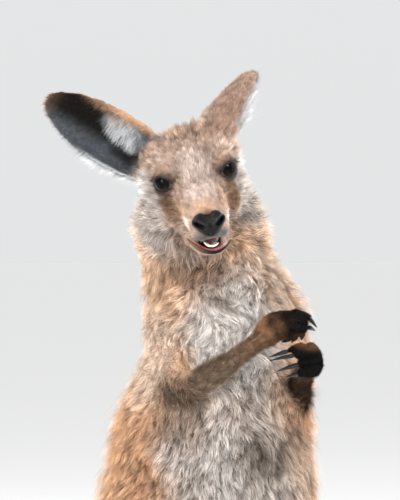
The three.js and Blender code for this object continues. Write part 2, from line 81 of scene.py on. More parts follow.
HEAD = head_frame()
BODY = Matrix.Translation(HEAD.translation - Vector(HEAD_PLACE) * MM) @ Matrix.Scale(MM, 4)


def jaw_frame():
    """From the lower jaw's own frame to the model's: it is swung to one side, chewing."""
    hinge = Vector(JAW_SWING["hinge"])
    swing = turned("Z", JAW_SWING["yaw"]) @ turned("Y", JAW_SWING["roll"])
    return HEAD @ Matrix.Translation(hinge) @ swing @ Matrix.Translation(-hinge)


JAW_FRAME = jaw_frame()

# ---------------- numbers on arrays


def applied(matrix, points):
    """Points moved by a matrix, as rows of an array."""
    m = np.array(matrix)
    return points @ m[:3, :3].T + m[:3, 3]


def to_head(points):
    """Points of the model in the head's own frame."""
    return applied(HEAD.inverted(), points)


def to_body(points):
    """Points of the model in the body's own frame."""
    return applied(BODY.inverted(), points)


def way_of(matrix):
    """How a frame in millimetres turns directions, as a matrix."""
    return np.array(matrix.to_3x3()) / MM


def units(vectors):
    return vectors / np.maximum(np.linalg.norm(vectors, axis=-1, keepdims=True), 1e-12)


def dots(a, b):
    return np.sum(a * b, axis=-1, keepdims=True)


def ramp(low, high, x):
    """0 at low, 1 at high, smooth between and level beyond; low may be the larger."""
    t = np.clip((x - low) / (high - low), 0, 1)
    return t * t * (3 - 2 * t)


def mixed(a, b, share):
    return a + (b - a) * share


def waves(points, size, seed, count=6):
    """Smooth noise from about -1 to 1, with swells of about the size given in millimetres."""
    random = np.random.default_rng(seed)
    total = np.zeros(len(points))
    for _ in range(count):
        way = units(random.normal(size=3)) * random.uniform(0.7, 1.4) * 2 * math.pi / (2 * size)
        total += np.sin(points / MM @ way + random.uniform(0, 2 * math.pi))
    return total / math.sqrt(count / 2) / 1.6


def swelling(points, share, size, seed):
    """A factor about 1 that comes and goes by the share given."""
    return 1 + share * waves(points, size, seed)


def linear(*colour):
    """A colour given as 0 to 255 on a screen, as the light it reflects."""
    share = np.array(colour, float) / 255
    return np.where(share <= 0.04045, share / 12.92, ((share + 0.055) / 1.055) ** 2.4)


# ---------------- meshes


def mesh_of(name, points, faces, smooth=True):
    """A mesh from arrays: points in metres and faces that all have the same number of corners."""
    faces = np.asarray(faces, np.int32)
    count, corners = faces.shape
    mesh = bpy.data.meshes.new(name)
    mesh.vertices.add(len(points))
    mesh.vertices.foreach_set("co", np.asarray(points, np.float32).ravel())
    mesh.loops.add(count * corners)
    mesh.loops.foreach_set("vertex_index", faces.ravel())
    mesh.polygons.add(count)
    mesh.polygons.foreach_set("loop_start", np.arange(0, count * corners, corners, dtype=np.int32))
    mesh.polygons.foreach_set("use_smooth", np.full(count, smooth))
    mesh.update(calc_edges=True)
    return mesh


def painted(mesh, colours):
    """Adds a colour to each vertex of a mesh."""
    layer = mesh.color_attributes.new(PAINT, "FLOAT_COLOR", "POINT")
    full = np.ones((len(colours), 4), np.float32)
    full[:, :3] = colours
    layer.data.foreach_set("color", full.ravel())


def placed(name, data):
    """A new object of the scene that shows some data."""
    thing = bpy.data.objects.new(name, data)
    bpy.context.scene.collection.objects.link(thing)
    return thing


def shown(name, mesh, material, replaces=()):
    """Puts a mesh in the scene as a piece that rides on the model."""
    piece = placed(name, mesh)
    mesh.materials.clear()
    mesh.materials.append(material)
    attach(piece, "root")
    if replaces:
        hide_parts(*replaces)
    return piece


def read_rows(values, key):
    """The three numbers that each item of a mesh has, as rows of an array."""
    out = np.empty(len(values) * 3, np.float32)
    values.foreach_get(key, out)
    return out.reshape(-1, 3).astype(float)


def positions(mesh):
    return read_rows(mesh.vertices, "co")


def normals(mesh):
    return read_rows(mesh.vertex_normals, "vector")


def moved(mesh, points):
    mesh.vertices.foreach_set("co", np.asarray(points, np.float32).ravel())
    mesh.update()


def with_modifier(mesh, kind, kept=None, **settings):
    """A copy of a mesh with one modifier applied; kept vertices are left alone."""
    holder = placed("holder", mesh)
    modifier = holder.modifiers.new("m", kind)
    if kept is not None:
        group = holder.vertex_groups.new(name="kept")
        group.add(np.flatnonzero(kept).tolist(), 1.0, "REPLACE")
        modifier.vertex_group = group.name
        modifier.invert_vertex_group = True
    for key, value in settings.items():
        setattr(modifier, key, value)
    result = holder.evaluated_get(bpy.context.evaluated_depsgraph_get())
    made = bpy.data.meshes.new_from_object(result)
    bpy.data.objects.remove(holder)
    return made


class Web:
    """The edges of a mesh, to smooth values over it."""

    def __init__(self, mesh):
        ends = np.empty(len(mesh.edges) * 2, np.int32)
        mesh.edges.foreach_get("vertices", ends)
        ends = ends.reshape(-1, 2)
        self.start = np.concatenate([ends[:, 0], ends[:, 1]])
        self.end = np.concatenate([ends[:, 1], ends[:, 0]])
        self.count = len(mesh.vertices)
        self.degree = np.maximum(np.bincount(self.start, minlength=self.count), 1)

    def mean(self, values):
        """The mean of each vertex's neighbours."""
        sums = [np.bincount(self.start, v[self.end], self.count) for v in values.T]
        return np.stack(sums, axis=1) / self.degree[:, None]

    def smoothed(self, values, rounds, share=0.5):
        flat = values.ndim == 1
        values = values[:, None] if flat else values
        for _ in range(rounds):
            values = values + (self.mean(values) - values) * share
        return values[:, 0] if flat else values


# ---------------- the coat, part by part
# Millimetres and degrees. depth: how far the skin lies inside the solids. lift: how steeply a tuft
# leaves the skin. count: tufts on each square millimetre. lock: how far apart the middles of the
# locks are. gather: how much a lock draws its tufts together. fair: how much the solids' facets
# are smoothed away.
COAT_KEYS = ("depth", "length", "width", "lift", "count", "lock", "gather", "fair")
COAT = {
    "head": (2.4, 5.2, 0.29, 30, 2.40, 4.0, 0.35, 0.20),
    "muzzle": (1.5, 3.0, 0.24, 20, 3.00, 3.0, 0.20, 0.15),
    "cheek": (4.0, 10.5, 0.35, 38, 1.80, 6.0, 0.45, 1.00),
    "crown": (3.0, 10.0, 0.34, 52, 1.90, 5.0, 0.45, 0.30),
    "ear_root": (1.6, 6.0, 0.29, 26, 2.40, 4.0, 0.35, 0.90),
    "lower_jaw": (1.6, 3.6, 0.30, 24, 2.40, 4.0, 0.25, 0.12),
    "ear": (0.5, 5.0, 0.27, 17, 1.80, 4.0, 0.30, 0.03),
    "neck": (6.5, 13.0, 0.37, 44, 1.40, 6.5, 0.62, 1.00),
    "chest": (6.5, 13.0, 0.37, 43, 1.35, 7.0, 0.62, 1.00),
    "belly": (6.5, 14.5, 0.39, 39, 1.20, 7.5, 0.62, 1.00),
    "rump": (6.5, 16.0, 0.75, 28, 0.42, 8.0, 0.50, 1.00),
    "upper_arm": (4.5, 11.0, 0.35, 40, 1.40, 6.0, 0.55, 0.60),
    "forearm": (2.4, 6.0, 0.31, 28, 2.30, 4.0, 0.35, 0.30),
    "hand": (0.5, 2.5, 0.25, 19, 3.20, 3.0, 0.15, 0.02),
    "thigh": (5.5, 13.0, 0.80, 28, 0.38, 8.0, 0.50, 1.00),
    "shank": (2.8, 8.0, 0.70, 24, 0.50, 6.0, 0.40, 0.50),
    "foot": (1.0, 3.6, 0.55, 16, 0.60, 4.0, 0.25, 0.12),
    "tail_base": (5.0, 12.0, 0.80, 26, 0.38, 8.0, 0.45, 0.80),
    "tail_middle": (4.0, 10.0, 0.75, 24, 0.42, 7.0, 0.45, 0.60),
    "tail_tip": (2.6, 8.0, 0.65, 22, 0.60, 6.0, 0.40, 0.30),
}
# Rows that take over in soft-edged zones of the head's frame: middle, half sizes, and whether the
# zone is on both sides. The roots of the ear that is laid back are on its side alone.
ZONES = [
    ("muzzle", (0, -70, -24), (30, 42, 34), False),
    ("cheek", (44, 12, -34), (24, 36, 40), True),
    ("cheek", (42, 24, -2), (12, 14, 16), True),
    ("crown", (0, 32, 34), (22, 16, 14), False),
    ("ear_root", (27, 9, 23), (15, 13, 12), False),
    ("ear_root", (21, 42, 31), (10, 26, 10), False),
]
BOTH = ("right", "left")
PAIRED = ("ear", "upper_arm", "forearm", "hand", "thigh", "shank", "foot")
SINGLE = ("head", "lower_jaw", "neck", "chest", "belly", "rump")
TAIL = ("tail_base", "tail_middle", "tail_tip")


def both_sides(*parts):
    """The names of paired parts, right and left."""
    return tuple(f"{part}_{side}" for part in parts for side in BOTH)


FLESH = SINGLE + TAIL + both_sides(*PAIRED)


def kind_of(node):
    """The row of the coat's table that a node of flesh follows."""
    for side in BOTH:
        node = node.removesuffix("_" + side)
    return node


# ---------------- the arms and hands
# Places along the right arm and the left one, in the body's frame.
ARM_PLACES = {
    "shoulder": ((-38, -12, 474), (59, -14, 475)),
    "elbow": ((-42, -63, 409), (58, -49, 402)),
    "wrist": ((15, -108, 459), (54, -109, 438)),
    "knuckles": ((38, -119, 470), (45.5, -129, 442)),
    "tips": ((50, -118, 468), (34, -134, 441)),
}
ARMS = {
    side: {key: np.array(places[index], float) for key, places in ARM_PLACES.items()}
    for index, side in enumerate(BOTH)
}
CREASE_DEPTH = 2.2  # how far the skin sinks between two fingers
CREASE_WIDTH = 1.4
CLAW_ROOT = 6  # how many of a claw's corners, the nearest to the knuckles, are at its root
FINGER_BACK = 7  # how far behind the knuckles the fingers start


def finger_lines(side):
    """The start and the end of each finger of a hand, found from its claw, in the model's frame."""
    wrist, knuckles = (applied(BODY, ARMS[side][key]) for key in ("wrist", "knuckles"))
    ends = []
    for number in range(1, 6):
        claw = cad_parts[f"claw_hand_{side}_{number}"].data
        corners = np.array([v.co[:] for v in claw.vertices])
        order = np.argsort(np.linalg.norm(corners - knuckles, axis=1))
        ends.append(corners[order[:CLAW_ROOT]].mean(axis=0))
    ends = np.array(ends)
    back = units(wrist - knuckles) * FINGER_BACK * MM
    starts = knuckles + (ends - ends.mean(axis=0)) + back
    return starts, ends


FINGER_LINES = {side: finger_lines(side) for side in BOTH}


def line_distances(points, lines):
    """How far each point is from each of some straight lines between two ends."""
    out = []
    for start, end in zip(*lines):
        way = end - start
        share = np.clip((points - start) @ way / (way @ way), 0, 1)
        out.append(np.linalg.norm(points - start - share[:, None] * way, axis=1))
    return np.array(out)


def between_fingers(points):
    """1 in the creases between the fingers, 0 away from them."""
    total = np.zeros(len(points))
    for lines in FINGER_LINES.values():
        near = np.sort(line_distances(points, lines), axis=0) / MM
        crease = np.exp(-(((near[1] - near[0]) / CREASE_WIDTH) ** 2))
        total = np.maximum(total, crease * (1 - ramp(8, 11, near[0])))
    return total


# ---------------- the skin
VOXEL = 1.5 * MM  # the size of the cells that join the solids
FAIRING_ROUNDS = 110  # of smoothing, to take the solids' facets away
SKIN_FACES = 220000  # about how many triangles the skin keeps
FINE = {"eye": 5, "finger": 11}  # beyond an eyeball and about a finger's middle, kept fine


def joined(names):
    bm = bmesh.new()
    for name in names:
        bm.from_mesh(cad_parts[name].data)
    mesh = bpy.data.meshes.new("joined")
    bm.to_mesh(mesh)
    bm.free()
    return mesh


def nearest_nodes():
    """A function from points to the names of the solids of flesh that are nearest to them."""
    corners, faces, owner = [], [], []
    for name in FLESH:
        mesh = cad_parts[name].data
        start = len(corners)
        corners += [v.co.copy() for v in mesh.vertices]
        faces += [[start + i for i in p.vertices] for p in mesh.polygons]
        owner += [name] * len(mesh.polygons)
    tree = BVHTree.FromPolygons(corners, faces)
    owner = np.array(owner)
    return lambda points: owner[[tree.find_nearest(Vector(p))[2] for p in points]]


def looked_up(table, names):
    """The row of a table for each name of a node of flesh, by its kind."""
    unique, which = np.unique(names, return_inverse=True)
    return np.array([table[kind_of(name)] for name in unique])[which]


def in_blob(points, middle, half, low=0.55, high=1.35):
    """1 in the middle of an ellipsoid, fading to 0 outside it."""
    away = (points - np.array(middle)) / half
    return 1 - ramp(low, high, np.linalg.norm(away, axis=1))


def coat_values(points, names, web):
    """The coat's values at each vertex of the skin, by name, blended where parts meet."""
    rows = web.smoothed(looked_up(COAT, names), 14)
    in_head = to_head(points)
    about = dict.fromkeys(COAT, np.isin(names, ("head", "neck", "lower_jaw")))
    about["ear_root"] = np.isin(names, ("head", "ear_left"))
    for zone, middle, half, paired in ZONES:
        for side in (1, -1) if paired else (1,):
            share = in_blob(in_head, np.array(middle) * (side, 1, 1), half) * about[zone]
            rows = mixed(rows, COAT[zone], share[:, None])
    return dict(zip(COAT_KEYS, rows.T))


class Eye:
    """Where an eye is in the head's frame: its middle, and the axes that it looks along."""

    def __init__(self, side, hand):
        turn = math.radians(hand * EYE["gaze"])
        self.side = side
        self.hand = hand
        self.middle = np.array([hand * EYE["apart"] / 2, EYE["back"], EYE["up"]])
        self.across = np.array([math.cos(turn), math.sin(turn), 0])
        self.up = np.array([0, 0, 1.0])
        self.ahead = np.array([math.sin(turn), -math.cos(turn), 0])
        self.tilt = math.radians(LID["tilt"] * hand)


LID = {"half_long": 8.9, "half_high": 6.1, "thick": 1.2, "sunk": 2.5, "tilt": -6, "droop": 0.3}
LID_REACH = (19, 23.5)  # from the middle of an eyeball, where the skin stops counting as its lids
BEHIND = 9.0  # stands for a place that isn't in front of the eye
EYES = (Eye("right", -1), Eye("left", 1))


def lid_droop(u, v, hand):
    """How much lower the upper lid hangs: more over the outer half of the eye."""
    return 1 - LID["droop"] * ramp(-0.3, 0.7, u * hand) * (v > 0)


def lid_share(points, eye):
    """How far points are out from the middle of an eye's opening: 1 on the edge of the lids."""
    ways = units(points - eye.middle)
    along = dots(ways, eye.across)[:, 0]
    above = dots(ways, eye.up)[:, 0]
    u = (along * math.cos(eye.tilt) + above * math.sin(eye.tilt)) * EYE["radius"] / LID["half_long"]
    v = (above * math.cos(eye.tilt) - along * math.sin(eye.tilt)) * EYE["radius"] / LID["half_high"]
    v = v / lid_droop(u, v, eye.hand)
    far = 4 * ramp(*LID_REACH, np.linalg.norm(points - eye.middle, axis=1))
    return np.where(dots(ways, eye.ahead)[:, 0] > 0, np.hypot(u, v) + far, BEHIND)


def around_eyes(points):
    """Sinks the skin behind each eyeball, and wraps it over the ball as lids."""
    local = to_head(points)
    for eye in EYES:
        share = lid_share(local, eye)
        out = local - eye.middle
        reach = np.linalg.norm(out, axis=1)
        lid = EYE["radius"] + LID["thick"] * ramp(0.9, 1.25, share)
        wrapped = np.maximum(reach, lid)
        sunk = np.minimum(reach, EYE["radius"] - LID["sunk"])
        near = (reach < EYE["radius"] + 8) & (share < BEHIND - 1)
        target = mixed(sunk, wrapped, ramp(0.88, 1.02, share))
        local = np.where(near[:, None], eye.middle + units(out) * target[:, None], local)
    return applied(HEAD, local)


NOSE_SUNK = 4.0  # how far the skin lies behind the nose's pad, clear of the nostrils


def behind_nose(points):
    """Sinks the skin behind the nose's pad."""
    local = to_head(points)
    share = (1 - ramp(0.68, 0.84, nose_share(local))) * (local[:, 1] < NOSE["middle"][1])
    local[:, 1] += NOSE_SUNK * share
    return applied(HEAD, local)


def skin_mesh(nearest):
    """The solids of flesh as one smooth surface, sunk by the coat's depth."""
    filling = ("eye_right", "eye_left", "nose")
    mesh = with_modifier(joined(FLESH + filling), "REMESH", mode="VOXEL", voxel_size=VOXEL)
    points = positions(mesh)
    web = Web(mesh)
    values = coat_values(points, nearest(points), web)
    share = 0.5 * values["fair"][:, None]
    for _ in range(FAIRING_ROUNDS):
        points = points + (web.mean(points) - points) * share
    moved(mesh, points)
    points = points - normals(mesh) * values["depth"][:, None] * MM
    points = web.smoothed(points, 3, 0.3)
    moved(mesh, points)
    ratio = SKIN_FACES / (2 * len(mesh.polygons))
    if ratio < 1:
        mesh = with_modifier(mesh, "DECIMATE", kept=fine_parts(points), ratio=ratio)
    moved(mesh, behind_nose(around_eyes(positions(mesh))))
    points = positions(mesh)
    moved(mesh, points - normals(mesh) * between_fingers(points)[:, None] * CREASE_DEPTH * MM)
    return mesh


def fine_parts(points):
    """Which points of the skin keep their fine mesh: the hands, and round the eyes."""
    in_head = to_head(points)
    kept = np.zeros(len(points), bool)
    for eye in EYES:
        kept |= np.linalg.norm(in_head - eye.middle, axis=1) < EYE["radius"] + FINE["eye"]
    for lines in FINGER_LINES.values():
        kept |= line_distances(points, lines).min(axis=0) < FINE["finger"] * MM
    return kept


# ---------------- markings
# Each tone has the colour of a hair's root and of its tip.
TONES = {
    "fawn": ((106, 78, 60), (211, 185, 168)),
    "sand": ((144, 116, 97), (240, 219, 204)),
    "buff": ((178, 142, 114), (252, 232, 214)),
    "tan": ((142, 98, 68), (230, 190, 156)),
    "warm": ((160, 118, 86), (246, 211, 180)),
    "rufous": ((148, 99, 66), (238, 195, 157)),
    "cream": ((146, 122, 107), (229, 212, 202)),
    "white": ((192, 178, 168), (246, 243, 240)),
    "grey": ((110, 96, 87), (206, 198, 192)),
    "brown": ((50, 33, 21), (140, 108, 82)),
    "umber": ((70, 48, 34), (176, 144, 120)),
    # painted shade, for the left forearm below the hand
    "dusk": ((20, 13, 8), (68, 50, 36)),
    "ticked": ((34, 24, 16), (141, 119, 98)),
    "sooty": ((172, 140, 118), (62, 44, 32)),
    "belly": ((124, 105, 92), (229, 223, 217)),
    "shade": ((74, 56, 42), (172, 158, 146)),
    "back": ((104, 76, 55), (196, 162, 134)),
    "ear_back": ((112, 82, 64), (188, 158, 139)),
    "ear_dark": ((6, 4, 3), (22, 18, 14)),
    "ear_grey": ((14, 14, 15), (104, 109, 115)),
    "ear_white": ((150, 152, 154), (246, 248, 250)),
    "lip": ((40, 39, 38), (130, 131, 127)),
    "rust": ((58, 37, 24), (156, 114, 84)),
    "black": ((3, 2, 2), (12, 8, 6)),
    "lid": ((28, 21, 17), (72, 54, 42)),
    "mouth": ((26, 10, 9), (34, 12, 11)),
}
TONE_LIGHT = {name: np.concatenate([linear(*c) for c in pair]) for name, pair in TONES.items()}

# The parts that have each tone before the patches.
TONE_PARTS = {
    "fawn": ("head", "lower_jaw"),
    "ear_back": ("ear",),
    "warm": ("neck", "chest", "upper_arm"),
    "rufous": ("belly", "rump", "thigh"),
    "ticked": ("forearm", "foot"),
    "black": ("hand",),
    "back": ("shank",) + TAIL,
}
TAIL_DARK = (340, 500)  # in the body's frame, how far back the tail darkens

# Patches in the head's frame: tone, middle, half sizes, strength; mirrored to both sides.
HEAD_PATCHES = [
    ("grey", (42, 6, -26), (20, 32, 34), 0.9),
    ("white", (42, 24, -2), (9, 11, 12), 0.7),
    ("cream", (0, -44, 3), (13, 34, 14), 1.0),
    ("cream", (0, -16, 15), (16, 22, 10), 0.95),
    ("sand", (30, 8, 14), (13, 13, 9), 1.0),
    ("tan", (30, -8, 13), (10, 7, 5), 0.3),
    ("brown", (27, -22, -13), (10, 18, 11), 1.0),
    ("brown", (24, -34, -19), (7, 12, 8), 0.8),
    ("tan", (20, -48, -12), (7, 18, 9), 0.6),
    ("tan", (0, -66, -6), (12, 8, 7), 0.6),
    ("brown", (0, -80, -10), (8, 8, 8), 0.9),
    ("white", (19, -58, -22), (6, 9, 6), 0.85),
    ("lip", (8, -79, -30), (9, 9, 7), 0.95),
    ("back", (0, 27, 32), (17, 12, 9), 0.8),
    ("sooty", (0, 32, 34), (14, 8, 7), 0.75),
    # darker fur at the roots of the ears, partly painted shade
    ("umber", (34, 22, 12), (10, 10, 10), 0.5),
    ("back", (0, 60, -4), (48, 26, 46), 0.9),
]
# Patches in the body's frame.
BODY_PATCHES = [
    ("back", (0, 45, 420), (90, 55, 190), 0.8),
    ("back", (0, 110, 230), (110, 90, 130), 0.8),
    ("buff", (-62, -38, 445), (34, 44, 44), 1.0),
    ("buff", (33, -57, 502), (32, 40, 40), 1.0),
    ("white", (0, -72, 462), (40, 40, 60), 1.0),
    ("white", (-40, -82, 372), (26, 34, 34), 0.8),
    ("belly", (5, -95, 330), (66, 52, 95), 0.95),
    ("white", (-14, -98, 355), (14, 30, 80), 0.5),
    # painted shade on the left side of the belly
    ("shade", (24, -90, 367), (24, 30, 22), 0.85),
    ("umber", (57, -72, 373), (20, 30, 24), 0.6),
    # painted light: paler on the left flank, where the lamps light it less
    ("buff", (62, -60, 350), (26, 34, 26), 0.6),
    # painted shade on the chest and belly beneath the right elbow
    ("umber", (-46, -72, 388), (28, 26, 18), 0.7),
    # darker fur on the throat, with painted shade under the chin
    ("umber", (-24, -56, 515), (26, 26, 15), 0.95),
    ("umber", (-8, -66, 492), (12, 20, 9), 0.6),
    ("grey", (-34, -40, 542), (30, 34, 20), 0.6),
    ("belly", (0, -60, 230), (60, 60, 70), 0.9),
]
# Patches of the arms, in the body's frame.
ARM_PATCHES = [
    ("buff", (-62, -36, 452), (24, 40, 34), 1.0),
    ("ticked", (-50, -66, 396), (40, 40, 32), 1.0),
    ("ticked", (58, -52, 400), (26, 26, 24), 0.9),
    # painted shade on the left forearm, below the hand
    ("dusk", (54, -80, 402), (30, 34, 32), 1.0),
    ("umber", (58, -40, 372), (20, 26, 16), 0.5),
]


def toned(tones, tone, share):
    """Lays a share of one tone over others."""
    return mixed(tones, TONE_LIGHT[tone], share[:, None])


def patched(tones, points, patches, mirrored):
    """Lays soft-edged patches of other tones over a coat."""
    for tone, middle, half, strength in patches:
        for side in (1, -1) if mirrored and middle[0] else (1,):
            share = strength * in_blob(points, np.array(middle) * (side, 1, 1), half)
            tones = toned(tones, tone, share)
    return tones


def markings(points, normal, names, web):
    """The tones of the coat at each vertex of the skin: three numbers for roots, three for tips."""
    base = {part: TONE_LIGHT[tone] for tone, parts in TONE_PARTS.items() for part in parts}
    tones = web.smoothed(looked_up(base, names), 10)
    in_body, in_head = to_body(points), to_head(points)
    trunk = np.isin(names, ("neck", "chest", "belly", "rump"))[:, None]
    head = np.isin(names, ("head", "lower_jaw", "neck"))[:, None]
    arms = np.isin(names, both_sides("upper_arm", "forearm"))[:, None]
    tones = np.where(trunk, patched(tones, in_body, BODY_PATCHES, False), tones)
    tones = np.where(arms, patched(tones, in_body, ARM_PATCHES, False), tones)
    tones = np.where(head, patched(tones, in_head, HEAD_PATCHES, True), tones)
    tones = toned(tones, "brown", np.isin(names, TAIL) * ramp(*TAIL_DARK, in_body[:, 1]))
    for side in BOTH:
        tones = ear_markings(tones, ear_places(in_head, normal, names, side))
        tones = hand_markings(tones, in_body, names, side)
    # the dark skin of the lids, widened as painted shade round each eye
    for eye in EYES:
        share = 0.9 * (1 - ramp(1.15, 1.75, lid_share(in_head, eye)))
        tones = np.where(head, toned(tones, "lid", share), tones)
    tones = toned(tones, "mouth", in_mouth(points, normal))
    tones = toned(tones, "black", 1 - ramp(0.74, 1.0, nose_share(in_head)))
    return web.smoothed(tones, 2)


NOSE = {"middle": (0, -75.5, -18), "half": (14.5, 8.6, 11.2), "tilt": -14}
NOSTRIL = {"at": (8.9, 0.2), "slope": 42, "long": 4.6, "wide": 1.35}
NOSE_TURN = np.array(turned("X", NOSE["tilt"]).to_3x3())


def nose_narrow(z):
    """How wide the pad is at a height, from its foot at -1 to its top at 1."""
    return mixed(0.64, 1.0, ramp(-0.95, 0.35, z))


def nose_notch(px, pz):
    """How far the hair of the nose's bridge runs down into the top of the pad."""
    return 3.2 * np.exp(-((px / 5.5) ** 2)) * ramp(3, 10, pz)


def nose_share(points):
    """How far points of the head's frame are out from the middle of the pad: 1 on its edge."""
    x, y, z = ((points - NOSE["middle"]) @ NOSE_TURN).T
    wide, deep, high = NOSE["half"]
    z = (z + nose_notch(x, z)) / high
    return np.sqrt((x / (wide * nose_narrow(z))) ** 2 + (y / deep) ** 2 / 3 + z**2)


def hair_edge(points):
    """As nose_share, but the hair comes farther down the middle of the pad's top."""
    x, _, z = ((points - NOSE["middle"]) @ NOSE_TURN).T
    return nose_share(points) + 0.5 * np.exp(-((x / 4.5) ** 2)) * ramp(0, 8, z)


MOUTH = {"middle": (0, -46, -38), "half": (13, 25, 9)}  # the mouth's hollow, in the jaw's frame


def in_mouth(points, normal):
    """1 on the skin that faces into the hollow of the mouth."""
    local = applied(JAW_FRAME.inverted(), points)
    inwards = units(applied(JAW_FRAME, np.array([MOUTH["middle"]], float)) - points)
    facing = ramp(-0.25, 0.1, dots(normal, inwards)[:, 0])
    return facing * in_blob(local, MOUTH["middle"], MOUTH["half"], 0.95, 1.12)


EARS = {
    "right": {"at": (-33, 29, 13), "axis": (-0.73, 0.30, 0.62), "opening": (-0.02, -0.91, 0.42)},
    "left": {"at": (31, 28, 14), "axis": (0.37, 0.89, 0.27), "opening": (0.41, -0.06, -0.91)},
}
EAR_LENGTH = 103
EAR_BANDS = 24  # along an ear, to find how wide it is at each place


def ear_places(in_head, normal, names, side):
    """Where points are on an ear: which are on it, how far along it and across it, how much they
    line its cup, how near its long-haired edge they are, and the ways along and across it."""
    ear = {key: np.array(value, float) for key, value in EARS[side].items()}
    axis = units(ear["axis"])
    opening = units(ear["opening"] - axis * (ear["opening"] @ axis))
    aside = np.cross(opening, axis)
    away = in_head - ear["at"]
    along, across = away @ axis / EAR_LENGTH, away @ aside
    mine = names == f"ear_{side}"
    band = np.clip((along * EAR_BANDS).astype(int), 0, EAR_BANDS - 1)
    widest = np.ones(EAR_BANDS)
    np.maximum.at(widest, band[mine], across[mine])
    fringe = mine * ramp(0.86, 0.99, across / widest[band]) * (1 - ramp(0.42, 0.62, along))
    turn = way_of(HEAD)
    inside = ramp(-0.15, 0.35, normal @ (turn @ opening))
    return {
        "mine": mine,
        "along": along,
        "across": across,
        "inside": inside * mine,
        "fringe": fringe,
        "pale": ear_tuft_share(along, across) * inside * mine,
        "axis": turn @ axis,
        "aside": turn @ aside,
    }


def ear_tuft_share(along, across):
    """How much of a point of the cup is under its long white tuft."""
    off = across + 9 + 24 * (along - 0.2)
    return (1 - ramp(4, 8, np.abs(off))) * ramp(0.1, 0.2, along) * (1 - ramp(0.4, 0.52, along))


def ear_markings(tones, ear):
    """A grey lining, dark along its middle, with a white tuft, a brown rim and a white fringe."""
    along, across = ear["along"], ear["across"]
    band = ramp(13, -3, across) * ramp(0.28, 0.42, along)
    root = (1 - ramp(4, 11, np.abs(across - 3))) * (1 - ramp(0.25, 0.45, along))
    lining = toned(TONE_LIGHT["ear_grey"], "ear_dark", np.maximum(band, 0.9 * root))
    lining = toned(lining, "ear_white", 0.95 * ear["pale"])
    rim = np.maximum(0.5 * ramp(0.85, 1.0, along), 0.85 * ramp(-16, -21, across))
    rim_tone = toned(TONE_LIGHT["tan"], "brown", 0.8 * ramp(0.3, 0.75, along))
    lining = mixed(lining, rim_tone, rim[:, None])
    lining = mixed(TONE_LIGHT["cream"], lining, ramp(-0.02, 0.12, along)[:, None])
    tones = np.where(ear["mine"][:, None], mixed(tones, lining, ear["inside"][:, None]), tones)
    return toned(tones, "ear_white", 0.9 * ear["fringe"])


HAND_RUST_AND_SHEEN = ((50, -127, 456), (18, 16, 7))  # where the top of the left hand is less black: rust-brown fur, with painted sheen where the light catches it
# How far along from the wrist to the knuckles a hand starts to darken, and where it is black.
HAND_BLACK = {"right": (-0.05, 0.85), "left": (-1.1, 0.2)}


def hand_markings(tones, in_body, names, side):
    """Rust-brown at the wrist and black towards the fingers."""
    wrist = ARMS[side]["wrist"]
    way = ARMS[side]["knuckles"] - wrist
    along = (in_body - wrist) @ way / (way @ way)
    rust = ramp(-1.3, 0.1, along)
    black = ramp(*HAND_BLACK[side], along + 0.25 * waves(in_body * MM, 7, 5))
    # rust-brown fur and painted sheen on the top of the left hand
    black *= 1 - 0.6 * in_blob(in_body, *HAND_RUST_AND_SHEEN)
    hand = toned(TONE_LIGHT["rust"], "black", black)
    mine = np.isin(names, (f"hand_{side}", f"forearm_{side}"))
    share = np.where(names == f"hand_{side}", 1, 0.75 * rust)
    return np.where(mine[:, None], mixed(tones, hand, share[:, None]), tones)


# ---------------- the lie of the coat
NOSE_TIP = (0, -86, -14)  # in the head's frame: the coat runs back from here
NAPE = (505, 550)  # heights in the body's frame, between which the neck's coat joins the head's
FIXED_LIES = {  # in the body's frame
    "neck": (0, 0.1, -1),
    "chest": (0, 0, -1),
    "belly": (0, 0, -1),
    "rump": (0, 0.35, -1),
    "thigh": (0, 0.25, -1),
    "shank": (0, 0.1, -1),
    "foot": (0, -1, -0.1),
    "tail_base": (0, 1, -0.9),
    "tail_middle": (0, 1, -0.1),
    "tail_tip": (0, 1, 0),
}
ARM_LIES = {  # the places of the arm that the coat lies from and to
    "upper_arm": ("shoulder", "elbow"),
    "forearm": ("elbow", "wrist"),
    "hand": ("wrist", "tips"),
}


def ear_lies(ear):
    """Along the back towards the tip; across the cup to its long-haired edge."""
    inside, pale, fringe = (ear[key][:, None] for key in ("inside", "pale", "fringe"))
    lining = ear["aside"] + ear["axis"] * (0.45 - 1.0 * pale)
    return units(ear["axis"] * (1 - inside) + lining * np.maximum(inside, fringe))


def lies(points, normal, names, web):
    """The direction that the coat lies in at each vertex of the skin."""
    in_head, in_body = to_head(points), to_body(points)
    from_nose = units(in_head - NOSE_TIP) @ way_of(HEAD).T
    out = from_nose.copy()
    for name in FLESH:
        mine = names == name
        kind = kind_of(name)
        side = name.rsplit("_", 1)[-1]
        if kind in FIXED_LIES:
            out[mine] = FIXED_LIES[kind]
        elif kind in ARM_LIES:
            start, end = ARM_LIES[kind]
            out[mine] = units(ARMS[side][end] - ARMS[side][start])
        elif kind == "ear":
            out[mine] = ear_lies(ear_places(in_head, normal, names, side))[mine]
    trunk = np.isin(names, ("neck", "chest", "belly"))
    out[trunk, 0] += 0.004 * (in_body[trunk, 0] - 2)
    upper = ramp(*NAPE, in_body[:, 2]) * (names == "neck")
    out = mixed(units(out), units(from_nose - (0, 0, 0.5)), upper[:, None])
    out = web.smoothed(units(out), 16)
    return along_surface(out, normal)


def along_surface(ways, normal):
    """Directions turned to lie along the skin."""
    return units(ways - normal * dots(ways, normal))


# ---------------- tufts
ROOT_SUNK = 0.4 * MM  # how far below the skin a tuft starts
FLOOR_GAP = 0.2 * MM  # no hair goes lower than this
